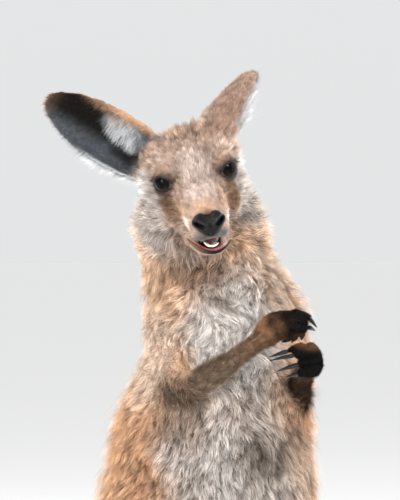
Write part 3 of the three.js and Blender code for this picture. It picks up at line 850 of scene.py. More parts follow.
# Each piece of the coat: its parts, its slot, and its layers. Short tufts are straight; where the
# coat is long, straight ones fill in under the bent guard hairs.
SHORT, LONG = ("short",), ("under", "guard")
COAT_PIECES = {
    "head": (("head", "lower_jaw"), "fur_tan", SHORT),
    "ears": (both_sides("ear"), "fur_grey", SHORT),
    "neck": (("neck",), "fur_tan", LONG),
    "chest": (("chest",), "fur_pale", LONG),
    "belly": (("belly",), "fur_pale", LONG),
    "rump": (("rump",), "fur_tan", LONG),
    "shoulders": (both_sides("upper_arm"), "fur_tan", LONG),
    "forearms": (both_sides("forearm"), "fur_tan", SHORT),
    "hands": (both_sides("hand"), "fur_dark", SHORT),
    "legs": (both_sides("thigh", "shank"), "fur_tan", LONG),
    "feet": (both_sides("foot"), "fur_tan", SHORT),
    "tail": (TAIL, "fur_tan", LONG),
}
# Each layer: its shares of the coat's count, length, width and lift; how much of the tips' tone its
# tips have; whether they bend; and the share of its tufts that are strays, standing out.
LAYER_KEYS = ("count", "length", "width", "lift", "pale", "bent", "stray")
LAYER_ROWS = {
    "short": (1.0, 1.0, 1.0, 1.0, 1.0, False, 0.04),
    "under": (0.95, 0.75, 1.0, 0.9, 0.8, False, 0.04),
    "guard": (0.27, 1.05, 1.1, 1.0, 1.0, True, 0.24),
}
LAYERS = {name: dict(zip(LAYER_KEYS, row)) for name, row in LAYER_ROWS.items()}
STRAY = {"lift": 22, "length": 0.5}  # degrees and length that the strays have beyond the rest
LIFT_RANGE = (4, 78)  # no tuft leaves the skin less or more steeply
FLAT = 0.8  # how deep a tuft is for its width
BEND = {"lift": 0.35, "width": 0.72, "shift": 0.45}  # shares left at or beyond a hair's bend
MOTTLE = 0.19  # how much the tone comes and goes over a few millimetres
PARTING_SHADE = 0.62  # how dark the painted shade in the partings between locks is
UNSEEN = {"count": 0.42, "width": 1.4}  # the coat is coarser where the picture doesn't show it
NEAR_EYE = {"length": 0.55, "count": 1.6}  # and shorter and closer round the eyes
EAR_HAIR = {"length": (7, 6), "lift": (14, 20)}  # more, over the cup's tuft and along the fringe
RUFFLED = 1.6  # how much more ruffled the neck and the chest are than the rest, at 1
SKIN_TONE = 0.35  # how near the skin's colour is to the hairs' tips
PIECE_TRIANGLES = 190000
PATCH = 0.003  # the size of a tuft's patch on the coat's map
CELL_EDGE = 0.04  # left clear at the edge of each cell of the map
CELL_FILL = 0.9


def corner_table(mesh):
    """The vertices of each triangle of the skin."""
    mesh.calc_loop_triangles()
    out = np.empty(len(mesh.loop_triangles) * 3, np.int32)
    mesh.loop_triangles.foreach_get("vertices", out)
    return out.reshape(-1, 3)


def scattered(triangles, points, density, random):
    """Even places on triangles: which triangle, and the share of each of its corners."""
    a, b, c = (points[triangles[:, k]] for k in range(3))
    area = np.linalg.norm(np.cross(b - a, c - a), axis=1) / 2
    load = np.cumsum(area * density[triangles].mean(axis=1) / MM**2)
    number = int(load[-1])
    marks = (np.arange(number) + random.uniform(size=number)) * load[-1] / number
    chosen = np.searchsorted(load, marks)
    u, v = random.uniform(size=(2, number))
    fold = u + v > 1
    u, v = np.where(fold, 1 - u, u), np.where(fold, 1 - v, v)
    return np.minimum(chosen, len(triangles) - 1), np.stack([1 - u - v, u, v], axis=1)


def unwrap(points, normal, names):
    """Places on the skin's own unwrap: each part is laid flat from six sides, in its own cell."""
    axis = np.argmax(np.abs(normal), axis=1)
    side = (normal[np.arange(len(normal)), axis] > 0).astype(int)
    chart = np.array([FLESH.index(name) for name in names]) * 6 + axis * 2 + side
    cells = int(math.ceil(math.sqrt(chart.max() + 1)))
    out = np.zeros((len(points), 2))
    for number in np.unique(chart):
        mine = chart == number
        kept = [k for k in range(3) if k != (number % 6) // 2]
        flat = points[mine][:, kept]
        low = flat.min(axis=0)
        size = max((flat.max(axis=0) - low).max(), 1e-6)
        cell = np.array([number % cells, number // cells])
        out[mine] = (cell + CELL_EDGE + CELL_FILL * (flat - low) / size) / cells
    return out


def locks(roots, normal, tips, share, gather, random):
    """How far each tip is drawn into its lock, and which tuft is the middle of that lock."""
    number = max(int(len(roots) * share), 2)
    middles = random.choice(len(roots), number, replace=False)
    tree = KDTree(number)
    for index, place in enumerate(roots[middles]):
        tree.insert(place, index)
    tree.balance()
    owner = middles[[tree.find(place)[1] for place in roots]]
    same_side = dots(normal, normal[owner])[:, 0] > 0.4
    aim = tips[owner] + 0.3 * (roots - roots[owner])
    shift = (aim - tips) * (gather * same_side)[:, None]
    length = np.linalg.norm(tips - roots, axis=1, keepdims=True)
    reach = np.linalg.norm(shift, axis=1, keepdims=True)
    shift *= np.minimum(1, 0.7 * length / np.maximum(reach, 1e-9))
    return shift, owner


class Scatter:
    """Places scattered over the skin of some nodes; called, it gives a value of the skin there."""

    def __init__(self, skin, nodes, layer, random):
        mine = np.isin(skin["names"], nodes)
        triangles = skin["triangles"]
        triangles = triangles[mine[triangles].sum(axis=1) >= 2]
        density = skin["count"] * skin["bare"] * layer["count"]
        chosen, self.shares = scattered(triangles, skin["points"], density, random)
        self.skin = skin
        self.corners = triangles[chosen]
        locks_each = density[triangles].mean(axis=1) * skin["lock"][triangles[:, 0]] ** 2
        self.lock_share = 1 / np.mean(locks_each)

    def __call__(self, key):
        return np.einsum("nk,nk...->n...", self.shares, self.skin[key][self.corners])


def tuft_lies(at, roots, normal, random):
    """The way that each tuft lies: the coat's own, swirled a little."""
    lie = along_surface(at("lies"), normal)
    side = np.cross(normal, lie)
    swirl = np.radians(at("ruffle") * (14 * waves(roots, 22, 1) + 12 * waves(roots, 9, 2)))
    swirl += np.radians(random.normal(0, 9, len(roots)))
    return lie * np.cos(swirl)[:, None] + side * np.sin(swirl)[:, None]


def raised(lie, normal, lift):
    """Directions that leave the skin at an angle."""
    return lie * np.cos(lift)[:, None] + normal * np.sin(lift)[:, None]


def tuft_lines(at, layer, roots, normal, lie, random):
    """The middle and the tip of each tuft, with swells over the coat and a few strays."""
    number = len(roots)
    stray = random.uniform(size=number) < layer["stray"]
    lift = at("lift") * layer["lift"] * swelling(roots, 0.3, 12, 3)
    lift = lift * (1 + random.normal(0, 0.28, number)) + STRAY["lift"] * stray
    lift = np.radians(np.clip(lift, *LIFT_RANGE))
    length = at("length") * layer["length"] * MM * swelling(roots, 0.12, 15, 4)
    length = length * random.uniform(0.65, 1.2, number) * (1 + STRAY["length"] * stray)
    rise = raised(lie, normal, lift)
    aside = np.cross(normal, lie) * random.normal(0, 0.2, number)[:, None]
    fall = units(raised(lie, normal, lift * BEND["lift"]) + aside)
    half = (length * 0.5)[:, None]
    middle = roots + rise * half
    return middle, middle + (fall if layer["bent"] else rise) * half


def tuft_tones(at, layer, roots, owner, random):
    """The colours of each tuft's root and tip. Locks differ, and painted shade darkens them where
    they part and in the creases between the fingers.
    """
    glow = random.normal(1, 0.16, len(roots)) * (1 + random.normal(0, 0.18, len(roots))[owner])
    apart = np.linalg.norm(roots - roots[owner], axis=1) / (at("lock") * MM)
    # painted shade in the partings between locks
    glow *= 1 - PARTING_SHADE * at("gather") * ramp(0.25, 0.8, apart)
    glow *= swelling(roots, MOTTLE, 2.6, 8)
    # painted shade in the creases between the fingers
    glow *= 1 - 0.75 * between_fingers(roots)
    tones = at("tones") * np.clip(glow, 0.15, 1.6)[:, None]
    low = tones[:, :3]
    return low, mixed(low, tones[:, 3:], layer["pale"])


def tufts(skin, nodes, layer, random):
    """One layer of tufts on some nodes: their points, colours, places on the map, and faces."""
    at = Scatter(skin, nodes, layer, random)
    roots, normal = at("points"), units(at("normals"))
    lie = tuft_lies(at, roots, normal, random)
    middle, tips = tuft_lines(at, layer, roots, normal, lie, random)
    shift, owner = locks(roots, normal, tips, at.lock_share, at("gather"), random)
    tips, middle = tips + shift, middle + shift * BEND["shift"]
    low, high = tuft_tones(at, layer, roots, owner, random)
    half = at("width") * layer["width"] * MM / 2 * random.uniform(0.75, 1.2, len(roots))
    across = np.cross(normal, lie) * half[:, None]
    ring = (across, -across, normal * half[:, None] * FLAT)
    stations = [(roots - normal * ROOT_SUNK, 1.0, low, 0.0)]
    if layer["bent"]:
        stations.append((middle, BEND["width"], mixed(low, high, 0.5), 0.5))
    place = unwrap(roots, normal, skin["names"][at.corners[:, 0]])
    rows = [
        (centre + offset * scale, colour, place + np.array([corner / 2, along]) * PATCH)
        for centre, scale, colour, along in stations
        for corner, offset in enumerate(ring)
    ]
    rows.append((tips, high, place + np.array([0.5, 1.0]) * PATCH))
    points, colours, places = (np.stack(column, axis=1) for column in zip(*rows))
    points[:, :, 2] = np.maximum(points[:, :, 2], FLOOR_GAP)
    return points, colours, places, TUFT_FACES[len(stations)]


def tuft_faces(stations):
    """The triangles of a tuft of one or two rings of three points and a tip, closed at its root."""
    faces = [(0, 2, 1)]
    for ring in range(stations - 1):
        for k in range(3):
            a, b = 3 * ring + k, 3 * ring + (k + 1) % 3
            faces += [(a, b, a + 3), (b, b + 3, a + 3)]
    last = 3 * (stations - 1)
    faces += [(last + k, last + (k + 1) % 3, last + 3) for k in range(3)]
    return np.array(faces)


TUFT_FACES = {stations: tuft_faces(stations) for stations in (1, 2)}


def coat(skin, material):
    """The whole coat, in pieces of few enough triangles."""
    random = np.random.default_rng(SEED)
    for name, (nodes, slot, layers) in COAT_PIECES.items():
        for layer in layers:
            *values, pattern = tufts(skin, nodes, LAYERS[layer], random)
            number = len(values[0])
            parts = int(math.ceil(number * len(pattern) / PIECE_TRIANGLES))
            for part, rows in enumerate(np.array_split(np.arange(number), parts)):
                label = f"coat_{name}_{layer}" + (f"_{part + 1}" if parts > 1 else "")
                coat_piece(label, *(value[rows] for value in values), pattern, material, slot)


def coat_piece(name, points, colours, places, pattern, material, slot):
    """Some tufts as one piece, with their colours and their map for baking."""
    number, size = points.shape[:2]
    faces = (np.arange(number)[:, None, None] * size + pattern).reshape(-1, 3)
    mesh = mesh_of(name, points.reshape(-1, 3), faces)
    painted(mesh, colours.reshape(-1, 3))
    layer = mesh.uv_layers.new(name="OFBake")
    layer.data.foreach_set("uv", places.reshape(-1, 2)[faces.ravel()].astype(np.float32).ravel())
    shown(name, mesh, material)


# ---------------- materials


def set_values(node, values):
    """Sets a node's sockets by their names, with _ for a space. A colour is made opaque."""
    for key, value in values.items():
        socket = node.inputs[key.replace("_", " ")]
        socket.default_value = (*value, 1) if hasattr(value, "__len__") else value


def shader_of(material):
    return material.node_tree.nodes["Principled BSDF"]


def new_material(name, **values):
    """A material with one Principled shader, and values set on its sockets."""
    material = bpy.data.materials.new(name)
    material.use_nodes = True
    set_values(shader_of(material), values)
    return material


def painted_material(name, **values):
    """A material coloured by the mesh's own paint."""
    material = new_material(name, **values)
    tree = material.node_tree
    paint = tree.nodes.new("ShaderNodeAttribute")
    paint.attribute_name = PAINT
    tree.links.new(paint.outputs["Color"], shader_of(material).inputs["Base Color"])
    return material


def grained(
    material, scale, strength, distance=0.0006, kind="Voronoi", height="Distance", **values
):
    """Gives a material the grain of bare skin, horn or short hair, as bump."""
    tree = material.node_tree
    place = tree.nodes.new("ShaderNodeTexCoord")
    grain = tree.nodes.new("ShaderNodeTex" + kind)
    set_values(grain, {"Scale": scale, **values})
    bump = tree.nodes.new("ShaderNodeBump")
    set_values(bump, {"Strength": strength, "Distance": distance})
    tree.links.new(place.outputs["Object"], grain.inputs["Vector"])
    tree.links.new(grain.outputs[height], bump.inputs["Height"])
    tree.links.new(bump.outputs["Normal"], shader_of(material).inputs["Normal"])
    return material


def coat_material():
    values = {"Specular_IOR_Level": 0.1, "Sheen_Weight": 0.02, "Sheen_Roughness": 0.5}
    return painted_material("coat", Roughness=0.62, **values)


def skin_material():
    skin = painted_material("skin", Roughness=0.85, Specular_IOR_Level=0.06)
    return grained(skin, 420, 0.6, 0.001, "Noise", "Fac", Detail=3)


# ---------------- build the skin and coat
PICTURE_FLOOR = (220, 255)  # the heights between which the picture ends, in millimetres
PICTURE_SIDE = (-0.2756, -0.9613, 0)  # the way to the picture's viewer


def seen_share(points, normal):
    """1 where the picture shows the skin, 0 below it and behind."""
    above = ramp(*PICTURE_FLOOR, points[:, 2] / MM)
    return above * ramp(-0.45, 0.0, normal @ np.array(PICTURE_SIDE))


def fit_round_eyes(skin, in_head):
    """Shorter, closer hair round the eyes, and none on the lids' rims."""
    for eye in EYES:
        share = lid_share(in_head, eye)
        away = ramp(1.1, 2.0, share)
        skin["bare"] = np.minimum(skin["bare"], ramp(1.08, 1.2, share))
        skin["length"] = skin["length"] * mixed(NEAR_EYE["length"], 1, away)
        skin["count"] = skin["count"] * mixed(NEAR_EYE["count"], 1, away)


def dressed_skin():
    """The skin's mesh, and by name the coat's values at each of its vertices."""
    nearest = nearest_nodes()
    mesh = skin_mesh(nearest)
    points, normal, web = positions(mesh), normals(mesh), Web(mesh)
    names = nearest(points)
    tones = markings(points, normal, names, web)
    painted(mesh, mixed(tones[:, :3], tones[:, 3:], SKIN_TONE))
    in_head = to_head(points)
    skin = coat_values(points, names, web)
    skin["bare"] = 1 - in_mouth(points, normal)
    fit_round_eyes(skin, in_head)
    skin["bare"] = np.minimum(skin["bare"], ramp(0.82, 0.92, hair_edge(in_head)))
    for side in BOTH:
        ear = ear_places(in_head, normal, names, side)
        for key, (pale, fringe) in EAR_HAIR.items():
            skin[key] = skin[key] + pale * ear["pale"] + fringe * ear["fringe"]
    hidden = 1 - seen_share(points, normal)
    for key, value in UNSEEN.items():
        skin[key] = skin[key] * mixed(1, value, hidden)
    skin.update(points=points, normals=normal, names=names, tones=tones)
    skin["triangles"] = corner_table(mesh)
    skin["lies"] = lies(points, normal, names, web)
    skin["ruffle"] = web.smoothed(np.isin(names, ("neck", "chest")) * RUFFLED + 1.0, 20)
    return mesh, skin


# ---------------- details of the head


def tube(path, wide, high, up=(0, 0, 1), closed=False, sides=10):
    """A tube of elliptic section along a path: its points, and its faces as triangles."""
    path = np.asarray(path, float)
    if closed:
        way = np.roll(path, -1, axis=0) - np.roll(path, 1, axis=0)
    else:
        way = np.gradient(path, axis=0)
    way = units(way)
    across = units(np.cross(way, np.broadcast_to(np.asarray(up, float), path.shape)))
    lift = np.cross(across, way)
    turn = np.linspace(0, 2 * math.pi, sides, endpoint=False)[None, :, None]
    wide, high = (np.broadcast_to(size, len(path))[:, None, None] for size in (wide, high))
    rings = path[:, None] + across[:, None] * np.cos(turn) * wide
    rings = rings + lift[:, None] * np.sin(turn) * high
    points, faces = rings.reshape(-1, 3), grid_faces(len(path), sides, closed)
    if closed:
        return points, faces
    first, last, end = len(points), len(points) + 1, (len(path) - 1) * sides
    caps = [(first, (k + 1) % sides, k) for k in range(sides)]
    caps += [(last, end + k, end + (k + 1) % sides) for k in range(sides)]
    return np.vstack([points, path[0], path[-1]]), np.vstack([faces, caps])


def tapered(stations, sides):
    """A tube through stations: x, y, z, half width and half height."""
    stations = np.array(stations, float)
    return tube(stations[:, :3], stations[:, 3], stations[:, 4], sides=sides)


def grid_faces(rows, columns, closed=False):
    """Triangles between rings of points; closed joins the last ring to the first."""
    faces = []
    for row in range(rows if closed else rows - 1):
        for k in range(columns):
            a, b = row * columns + k, row * columns + (k + 1) % columns
            c, d = ((i + columns) % (rows * columns) for i in (a, b))
            faces += [(a, b, c), (b, d, c)]
    return np.array(faces)


def merged(*solids):
    """Several points-and-faces pairs as one."""
    points, faces, start = [], [], 0
    for some_points, some_faces in solids:
        points.append(some_points)
        faces.append(np.asarray(some_faces) + start)
        start += len(some_points)
    return np.vstack(points), np.vstack(faces)


def tidy(mesh):
    """Joins doubled points and turns every face outwards."""
    bm = bmesh.new()
    bm.from_mesh(mesh)
    bmesh.ops.remove_doubles(bm, verts=bm.verts, dist=1e-7)
    bmesh.ops.recalc_face_normals(bm, faces=bm.faces)
    bm.to_mesh(mesh)
    bm.free()
    mesh.update()
    return mesh


def piece_of(name, solid, matrix, material, replaces=(), colours=None):
    """Shows points and faces of a frame in millimetres as a piece, painted if there are colours."""
    points, faces = solid
    mesh = mesh_of(name, applied(matrix, points), faces)
    if colours is not None:
        painted(mesh, colours)
    return shown(name, tidy(mesh), material, replaces)


def ball(rows=48, columns=64):
    """Directions of a fine sphere about +Z, ring by ring, and its faces."""
    polar = np.linspace(0, math.pi, rows)[:, None]
    turn = np.linspace(0, 2 * math.pi, columns, endpoint=False)[None, :]
    ways = [np.sin(polar) * np.cos(turn), np.sin(polar) * np.sin(turn), np.cos(polar) + 0 * turn]
    return np.stack(ways, axis=-1).reshape(-1, 3), grid_faces(rows, columns)


EYE_COLOURS = {
    "pupil": (4, 4, 5),
    "iris": (9, 7, 6),
    "glint": (46, 43, 15),
    "edge": (7, 6, 5),
}
LASHES = 30  # on each upper lid
LASH_WIDTHS = [0.12, 0.09, 0.02]  # from root to tip
IRIS_ANGLE = 0.72  # radians out from the middle of the eye
PUPIL = (0.40, 0.30)  # half its width and height, as shares of the eye's radius
CORNEA_BULGE = 0.7  # millimetres


def eyeball(eye, material):
    """A dark ball whose cornea bulges, with a faint glint in the lower half of the iris."""
    ways, faces = ball()
    off = np.arccos(np.clip(ways[:, 2], -1, 1))
    points = ways * EYE["radius"] + ways * (CORNEA_BULGE * np.exp(-((off / 0.6) ** 2)))[:, None]
    light = {key: linear(*value) for key, value in EYE_COLOURS.items()}
    turn = np.arctan2(ways[:, 1], ways[:, 0])
    streak = 0.5 + 0.25 * np.sin(turn * 23) + 0.25 * np.sin(turn * 37 + 1)
    low = ramp(0.2, -0.9, ways[:, 1] / np.maximum(np.sin(off), 0.01))
    iris = mixed(light["iris"], light["glint"], (low * streak)[:, None])
    pupil = np.hypot(ways[:, 0] / PUPIL[0], ways[:, 1] / PUPIL[1])
    colours = mixed(light["pupil"], iris, ramp(0.9, 1.15, pupil)[:, None])
    colours = mixed(colours, light["edge"], ramp(IRIS_ANGLE - 0.12, IRIS_ANGLE, off)[:, None])
    solid = (eye.middle + points @ np.stack([eye.across, eye.up, eye.ahead]), faces)
    piece_of(f"eyeball_{eye.side}", solid, HEAD, material, (f"eye_{eye.side}",), colours)


def lid_point(eye, turn, reach, grow=1.0):
    """Points round the edge of an eye's lids; the inner corner is drawn out and hangs lower."""
    along = np.cos(turn)
    u = along * LID["half_long"] * grow / EYE["radius"]
    v = np.sin(turn) * LID["half_high"] * grow / EYE["radius"]
    v = v * lid_droop(along, v, eye.hand)
    inner = (np.sign(u) * eye.hand < 0) * np.abs(along) ** 6
    u = u * (1 + 0.10 * inner)
    v = v - 0.10 * inner
    a = u * math.cos(eye.tilt) - v * math.sin(eye.tilt)
    b = u * math.sin(eye.tilt) + v * math.cos(eye.tilt)
    c = np.sqrt(np.maximum(1 - a * a - b * b, 0.02))
    ways = units(a[:, None] * eye.across + b[:, None] * eye.up + c[:, None] * eye.ahead)
    return eye.middle + ways * reach


def lids(eye, material, wet):
    """The bare rims of the lids, and a wet line inside them."""
    turn = np.linspace(0, 2 * math.pi, 72, endpoint=False)
    upper = ramp(-0.2, 0.6, np.sin(turn))
    rim = lid_point(eye, turn, EYE["radius"] + 0.4, 1.07)
    solid = tube(rim, 1.1 - 0.4 * upper, 0.7 + 0.1 * upper, rim - eye.middle, closed=True)
    piece_of(f"lids_{eye.side}", solid, HEAD, material)
    line = lid_point(eye, turn, EYE["radius"] + 0.25, 0.99)
    solid = tube(line, 0.4, 0.3, line - eye.middle, closed=True, sides=8)
    piece_of(f"tear_line_{eye.side}", solid, HEAD, wet)


def lashes(eye, material, random):
    """Dark lashes along the upper lid, sweeping out and down."""
    solids = []
    for turn in np.linspace(0.12 * math.pi, 0.88 * math.pi, LASHES):
        turn = turn + random.normal(0, 0.02)
        start = lid_point(eye, np.array([turn]), EYE["radius"] + 1.6, 1.1)[0]
        out = units(start - eye.middle)
        aside = 0.5 * np.cos(turn) * eye.across
        reach = random.uniform(2.4, 4.2)
        halfway = start + (out * 0.8 + aside * 0.5 + eye.up * 0.1) * reach * 0.5
        end = start + (out * 0.75 + aside - eye.up * 0.25) * reach
        solids.append(tube([start, halfway, end], LASH_WIDTHS, LASH_WIDTHS, eye.up, sides=4))
    piece_of(f"lashes_{eye.side}", merged(*solids), HEAD, material)


# The forms of the pad's front, and how far each stands out of it.
NOSE_PUSH = {"wing": 2.2, "hole": -4.6, "groove": -1.2, "saddle": -2.4}


def nose_forms(x, z):
    """How much of each form there is on the pad: the nostrils with a rolled wing round each, the
    groove between them, and the saddle above."""
    slope = math.radians(NOSTRIL["slope"])
    across, above = np.abs(x) - NOSTRIL["at"][0], z - NOSTRIL["at"][1]
    along = across * math.cos(slope) + above * math.sin(slope)
    off = above * math.cos(slope) - across * math.sin(slope)
    long = (along / NOSTRIL["long"]) ** 2
    return {
        "wing": np.exp(-long - ((np.abs(off) - 2.7) / 1.4) ** 2),
        "hole": np.exp(-long - (off / NOSTRIL["wide"]) ** 2),
        "groove": np.exp(-((x / 1.1) ** 2)) * ramp(3.5, -1.0, z),
        "saddle": np.exp(-((x / 5.0) ** 2) - ((z - 8) / 5.5) ** 2),
    }


def nose(material):
    """The bare pad, broad above and narrow below."""
    ways, faces = ball(90, 120)
    ways = ways[:, [0, 2, 1]]
    points = ways * NOSE["half"]
    points[:, 0] *= nose_narrow(ways[:, 2])
    front = ramp(0.15, -0.35, ways[:, 1])
    x, z = points[:, 0], points[:, 2]
    forms = nose_forms(x, z)
    points[:, 1] -= sum(push * forms[key] for key, push in NOSE_PUSH.items()) * front
    points[:, 2] -= nose_notch(x, z)
    # painted highlight: bluish grey on the rolled rims of the nostrils, where they catch the light
    colours = mixed(linear(9, 8, 8), linear(28, 29, 34), (forms["wing"] * front)[:, None])
    # painted shade: nearly black down in the nostrils
    colours = mixed(colours, linear(2, 2, 2), ramp(0.2, 0.7, forms["hole"] * front)[:, None])
    colours = mixed(colours, linear(36, 29, 25), 0.7 * forms["saddle"][:, None])
    solid = (points @ NOSE_TURN.T + NOSE["middle"], faces)
    piece_of("nose_pad", solid, HEAD, material, ("nose",), colours)


JAW_RIM = [  # the edge of the lower lip in the jaw's frame, from the chin back to the left corner
    (0.0, -66.5, -44.5),
    (4.5, -65.8, -44.2),
    (8.4, -63.5, -43.4),
    (12.2, -58.5, -42.3),
    (15.2, -51.0, -41.6),
    (18.0, -43.5, -40.8),
]


def rim_path(inset=0.0, drop=0.0, back=0.0, count=61, stations=len(JAW_RIM)):
    """A smooth path along the lower lip, from the right corner of the mouth to the left."""
    half = np.array(JAW_RIM[:stations])
    rough = np.vstack([half[::-1] * (-1, 1, 1), half[1:]])
    rough[:, 0] *= 1 - inset / np.maximum(np.abs(rough[:, 0]), 9)
    rough += (0, back, -drop)
    steps = np.concatenate([[0], np.cumsum(np.linalg.norm(np.diff(rough, axis=0), axis=1))])
    at = np.linspace(0, steps[-1], count)
    path = np.stack([np.interp(at, steps, rough[:, k]) for k in range(3)], axis=1)
    for _ in range(6):
        path[1:-1] = (path[:-2] + 2 * path[1:-1] + path[2:]) / 4
    return path


# Stations along the left front tooth and along the tongue, in the jaw's frame: x, y, z, half the
# width and half the height.
TOOTH = [
    (2.4, -53.0, -42.2, 2.6, 1.4),
    (2.5, -57.0, -41.6, 3.1, 1.2),
    (2.6, -60.5, -40.9, 3.5, 1.0),
    (2.6, -63.0, -40.1, 3.6, 0.9),
    (2.6, -64.4, -39.4, 3.0, 0.7),
]
TOOTH_CURVE = 0.085  # how fast the pair of teeth rises away from its middle
TOOTH_SUNK = 2.2  # how far the teeth's middle lies below their stations
TONGUE = [
    (0, -31, -41.5, 5.5, 1.6),
    (0, -38, -40.6, 7.6, 2.2),
    (0, -45, -41.2, 7.6, 2.2),
    (0, -50, -42.2, 6.4, 1.7),
    (0, -53, -43.2, 3.0, 0.8),
]


def lower_lip(material):
    """The lip is dark, and thicker and browner towards its right corner."""
    path = rim_path(drop=2.0)
    share = np.linspace(0, math.pi, len(path))
    ends = np.sin(share) ** 0.5 * (1 + 0.5 * np.cos(share))
    solid = tube(path, 0.4 + 0.8 * ends, 0.5 + 1.05 * ends)
    brown = ramp(-0.1, 0.75, np.cos(share))
    colours = mixed(linear(17, 14, 13), linear(84, 62, 44), np.repeat(brown, 10)[:, None])
    colours = np.vstack([colours, colours[[0, -1]]])
    piece_of("lip_lower", solid, JAW_FRAME, material, colours=colours)


def lower_gum(material):
    path = rim_path(inset=2.2, drop=1.5, back=2.4, stations=5)
    ends = np.sin(np.linspace(0, math.pi, len(path))) ** 0.8
    solid = tube(path, 0.3 + 1.4 * ends, 0.3 + 1.1 * ends)
    piece_of("gum_lower", solid, JAW_FRAME, material)


def incisors(material):
    """The pair of long lower front teeth, side by side, curved together as a shallow cup."""
    points, faces = merged(*(tapered(np.array(TOOTH) * (hand, 1, 1, 1, 1), 16) for hand in (-1, 1)))
    points[:, 2] += TOOTH_CURVE * points[:, 0] ** 2 - TOOTH_SUNK
    piece_of("incisors", (points, faces), JAW_FRAME, material, ("lower_teeth",))


def tongue(material):
    piece_of("tongue_body", tapered(TONGUE, 20), JAW_FRAME, material, ("tongue",))


WHISKERS = [  # where whiskers leave the head, in its frame, and how far back they sweep
    (17, -62, -22, 0.4),
    (18, -58, -25, 0.5),
    (19, -54, -21, 0.6),
    (19, -56, -29, 0.5),
    (20, -48, -26, 0.8),
    (13, -70, -27, 0.3),
]


def whiskers(material, random):
    """Fine whiskers on both sides of the muzzle, drooping to their tips."""
    solids = []
    steps = np.linspace(0, 1, 7)[:, None]
    width = 0.11 * (1 - 0.85 * steps[:, 0])
    for hand in (-1, 1):
        for x, y, z, sweep in WHISKERS:
            start = np.array([hand * x, y, z], float)
            way = units(np.array([hand * 1.0, sweep, random.uniform(-0.45, -0.1)]))
            reach = random.uniform(22, 32)
            path = start + way * reach * steps + np.array([0, 0, -5]) * steps**2
            solids.append(tube(path, width, width, sides=4))
    piece_of("whiskers", merged(*solids), HEAD, material)


def head_details():
    """The eyes, the nose, the mouth and the whiskers, in their materials."""
    random = np.random.default_rng(SEED + 1)
    ball_skin = painted_material("eye", Roughness=0.04, IOR=1.11)
    lid = new_material("lid_skin", Base_Color=linear(11, 9, 9), Roughness=0.38, IOR=1.25)
    wet = new_material("tear_line", Base_Color=linear(24, 24, 28), Roughness=0.2, IOR=1.3)
    lash = new_material("lash", Base_Color=linear(26, 20, 17), Roughness=0.5)
    grained(lid, 1500, 0.12)
    for eye in EYES:
        eyeball(eye, ball_skin)
        lids(eye, lid, wet)
        lashes(eye, lash, random)
    nose(grained(painted_material("nose_skin", Roughness=0.34, IOR=1.22), 1000, 0.42))
    lower_lip(grained(painted_material("lip_skin", Roughness=0.55, IOR=1.2), 1300, 0.15))
    lower_gum(new_material("gum", Base_Color=linear(150, 68, 70), Roughness=0.4))
    ivory = linear(226, 219, 204)
    incisors(new_material("enamel", Base_Color=ivory, Roughness=0.2, Coat_Weight=0.3))
    flesh = new_material("tongue_skin", Base_Color=linear(62, 25, 23), Roughness=0.45)
    tongue(grained(flesh, 1800, 0.3))
    whiskers(lash, random)


CURLED = tuple(f"claw_hand_right_{number}" for number in (3, 4, 5))  # in the shade of the palm


def claws():
    """Horn on the solids of the claws; those curled in under the palm are darker and rougher, as
    painted shade.
    """
    colour, shaded_colour = linear(15, 16, 21), linear(7, 6, 7)
    horn = new_material("claw", Base_Color=colour, Roughness=0.42, Specular_IOR_Level=0.3)
    shaded = new_material("claw_shaded", Base_Color=shaded_colour, Roughness=0.8, Specular_IOR_Level=0.1)
    grained(horn, 700, 0.08)
    for name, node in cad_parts.items():
        if name.startswith("claw_"):
            node.data.materials.clear()
            node.data.materials.append(shaded if name in CURLED else horn)
            node.data.shade_smooth()


skin_surface, skin_values = dressed_skin()
shown("skin", skin_surface, skin_material(), FLESH)
coat(skin_values, coat_material())
head_details()
claws()

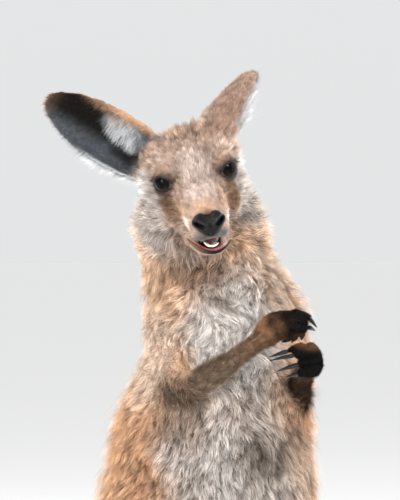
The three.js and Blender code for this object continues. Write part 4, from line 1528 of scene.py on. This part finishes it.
# ---------------- floor, light, camera
HORIZON = (0.775, 0.785, 0.79)
ZENITH = (0.87, 0.875, 0.88)
FLOOR_SIZE = 120
PHOTO = {"half_height": 250, "focal": 3058.8}  # pixels
CAMERA = {"at": (-0.704, -2.6678, 0.531), "tilt": 90, "turn": -16}
AIM = (0, -0.2, 0.45)
LAMPS = {  # each lamp's place, size and power; all look at AIM
    "key": ((-2.2, -2.0, 2.4), 0.7, 84),
    "fill": ((2.7, -0.4, 1.2), 2.6, 42),
    "catch_right_eye": ((-2.9, -1.66, 0.44), 0.7, 72),
    "catch_left_eye": ((1.45, -2.6, 1.75), 0.7, 74),
    "rim_left": ((-1.6, 1.4, 1.9), 0.9, 55),
    "rim_right": ((1.7, 1.3, 1.9), 0.9, 45),
}


def camera():
    data = bpy.data.cameras.new("camera")
    data.sensor_fit = "VERTICAL"
    data.angle = 2 * math.atan(PHOTO["half_height"] / PHOTO["focal"])
    view = placed("camera", data)
    view.location = CAMERA["at"]
    view.rotation_euler = (math.radians(CAMERA["tilt"]), 0, math.radians(CAMERA["turn"]))
    bpy.context.scene.camera = view


def lamp(name, place, size, power):
    data = bpy.data.lights.new(name, "AREA")
    data.shape = "DISK"
    data.size = size
    data.energy = power
    light = placed(name, data)
    light.location = place
    light.rotation_euler = (Vector(AIM) - Vector(place)).to_track_quat("-Z", "Y").to_euler()


def sky(tree):
    """A soft sky, a little brighter overhead, so that the floor's far edge fades into it."""
    place = tree.nodes.new("ShaderNodeTexCoord")
    parts = tree.nodes.new("ShaderNodeSeparateXYZ")
    ramped = tree.nodes.new("ShaderNodeValToRGB")
    ramped.color_ramp.elements[0].color = (*HORIZON, 1)
    ramped.color_ramp.elements[1].color = (*ZENITH, 1)
    tree.links.new(place.outputs["Generated"], parts.inputs["Vector"])
    tree.links.new(parts.outputs["Z"], ramped.inputs["Fac"])
    tree.links.new(ramped.outputs["Color"], tree.nodes["Background"].inputs["Color"])


def studio():
    size = FLOOR_SIZE
    corners = [(-size, -size, 0), (size, -size, 0), (size, size, 0), (-size, size, 0)]
    mesh = mesh_of("floor", np.array(corners, float), [(0, 1, 2, 3)], smooth=False)
    mesh.materials.append(new_material("floor", Base_Color=(0.93, 0.93, 0.92), Roughness=0.95))
    placed("floor", mesh)
    world = bpy.data.worlds.new("world")
    world.use_nodes = True
    sky(world.node_tree)
    bpy.context.scene.world = world
    for name, values in LAMPS.items():
        lamp(name, *values)
    bpy.context.scene.view_settings.view_transform = "Standard"


camera()
studio()
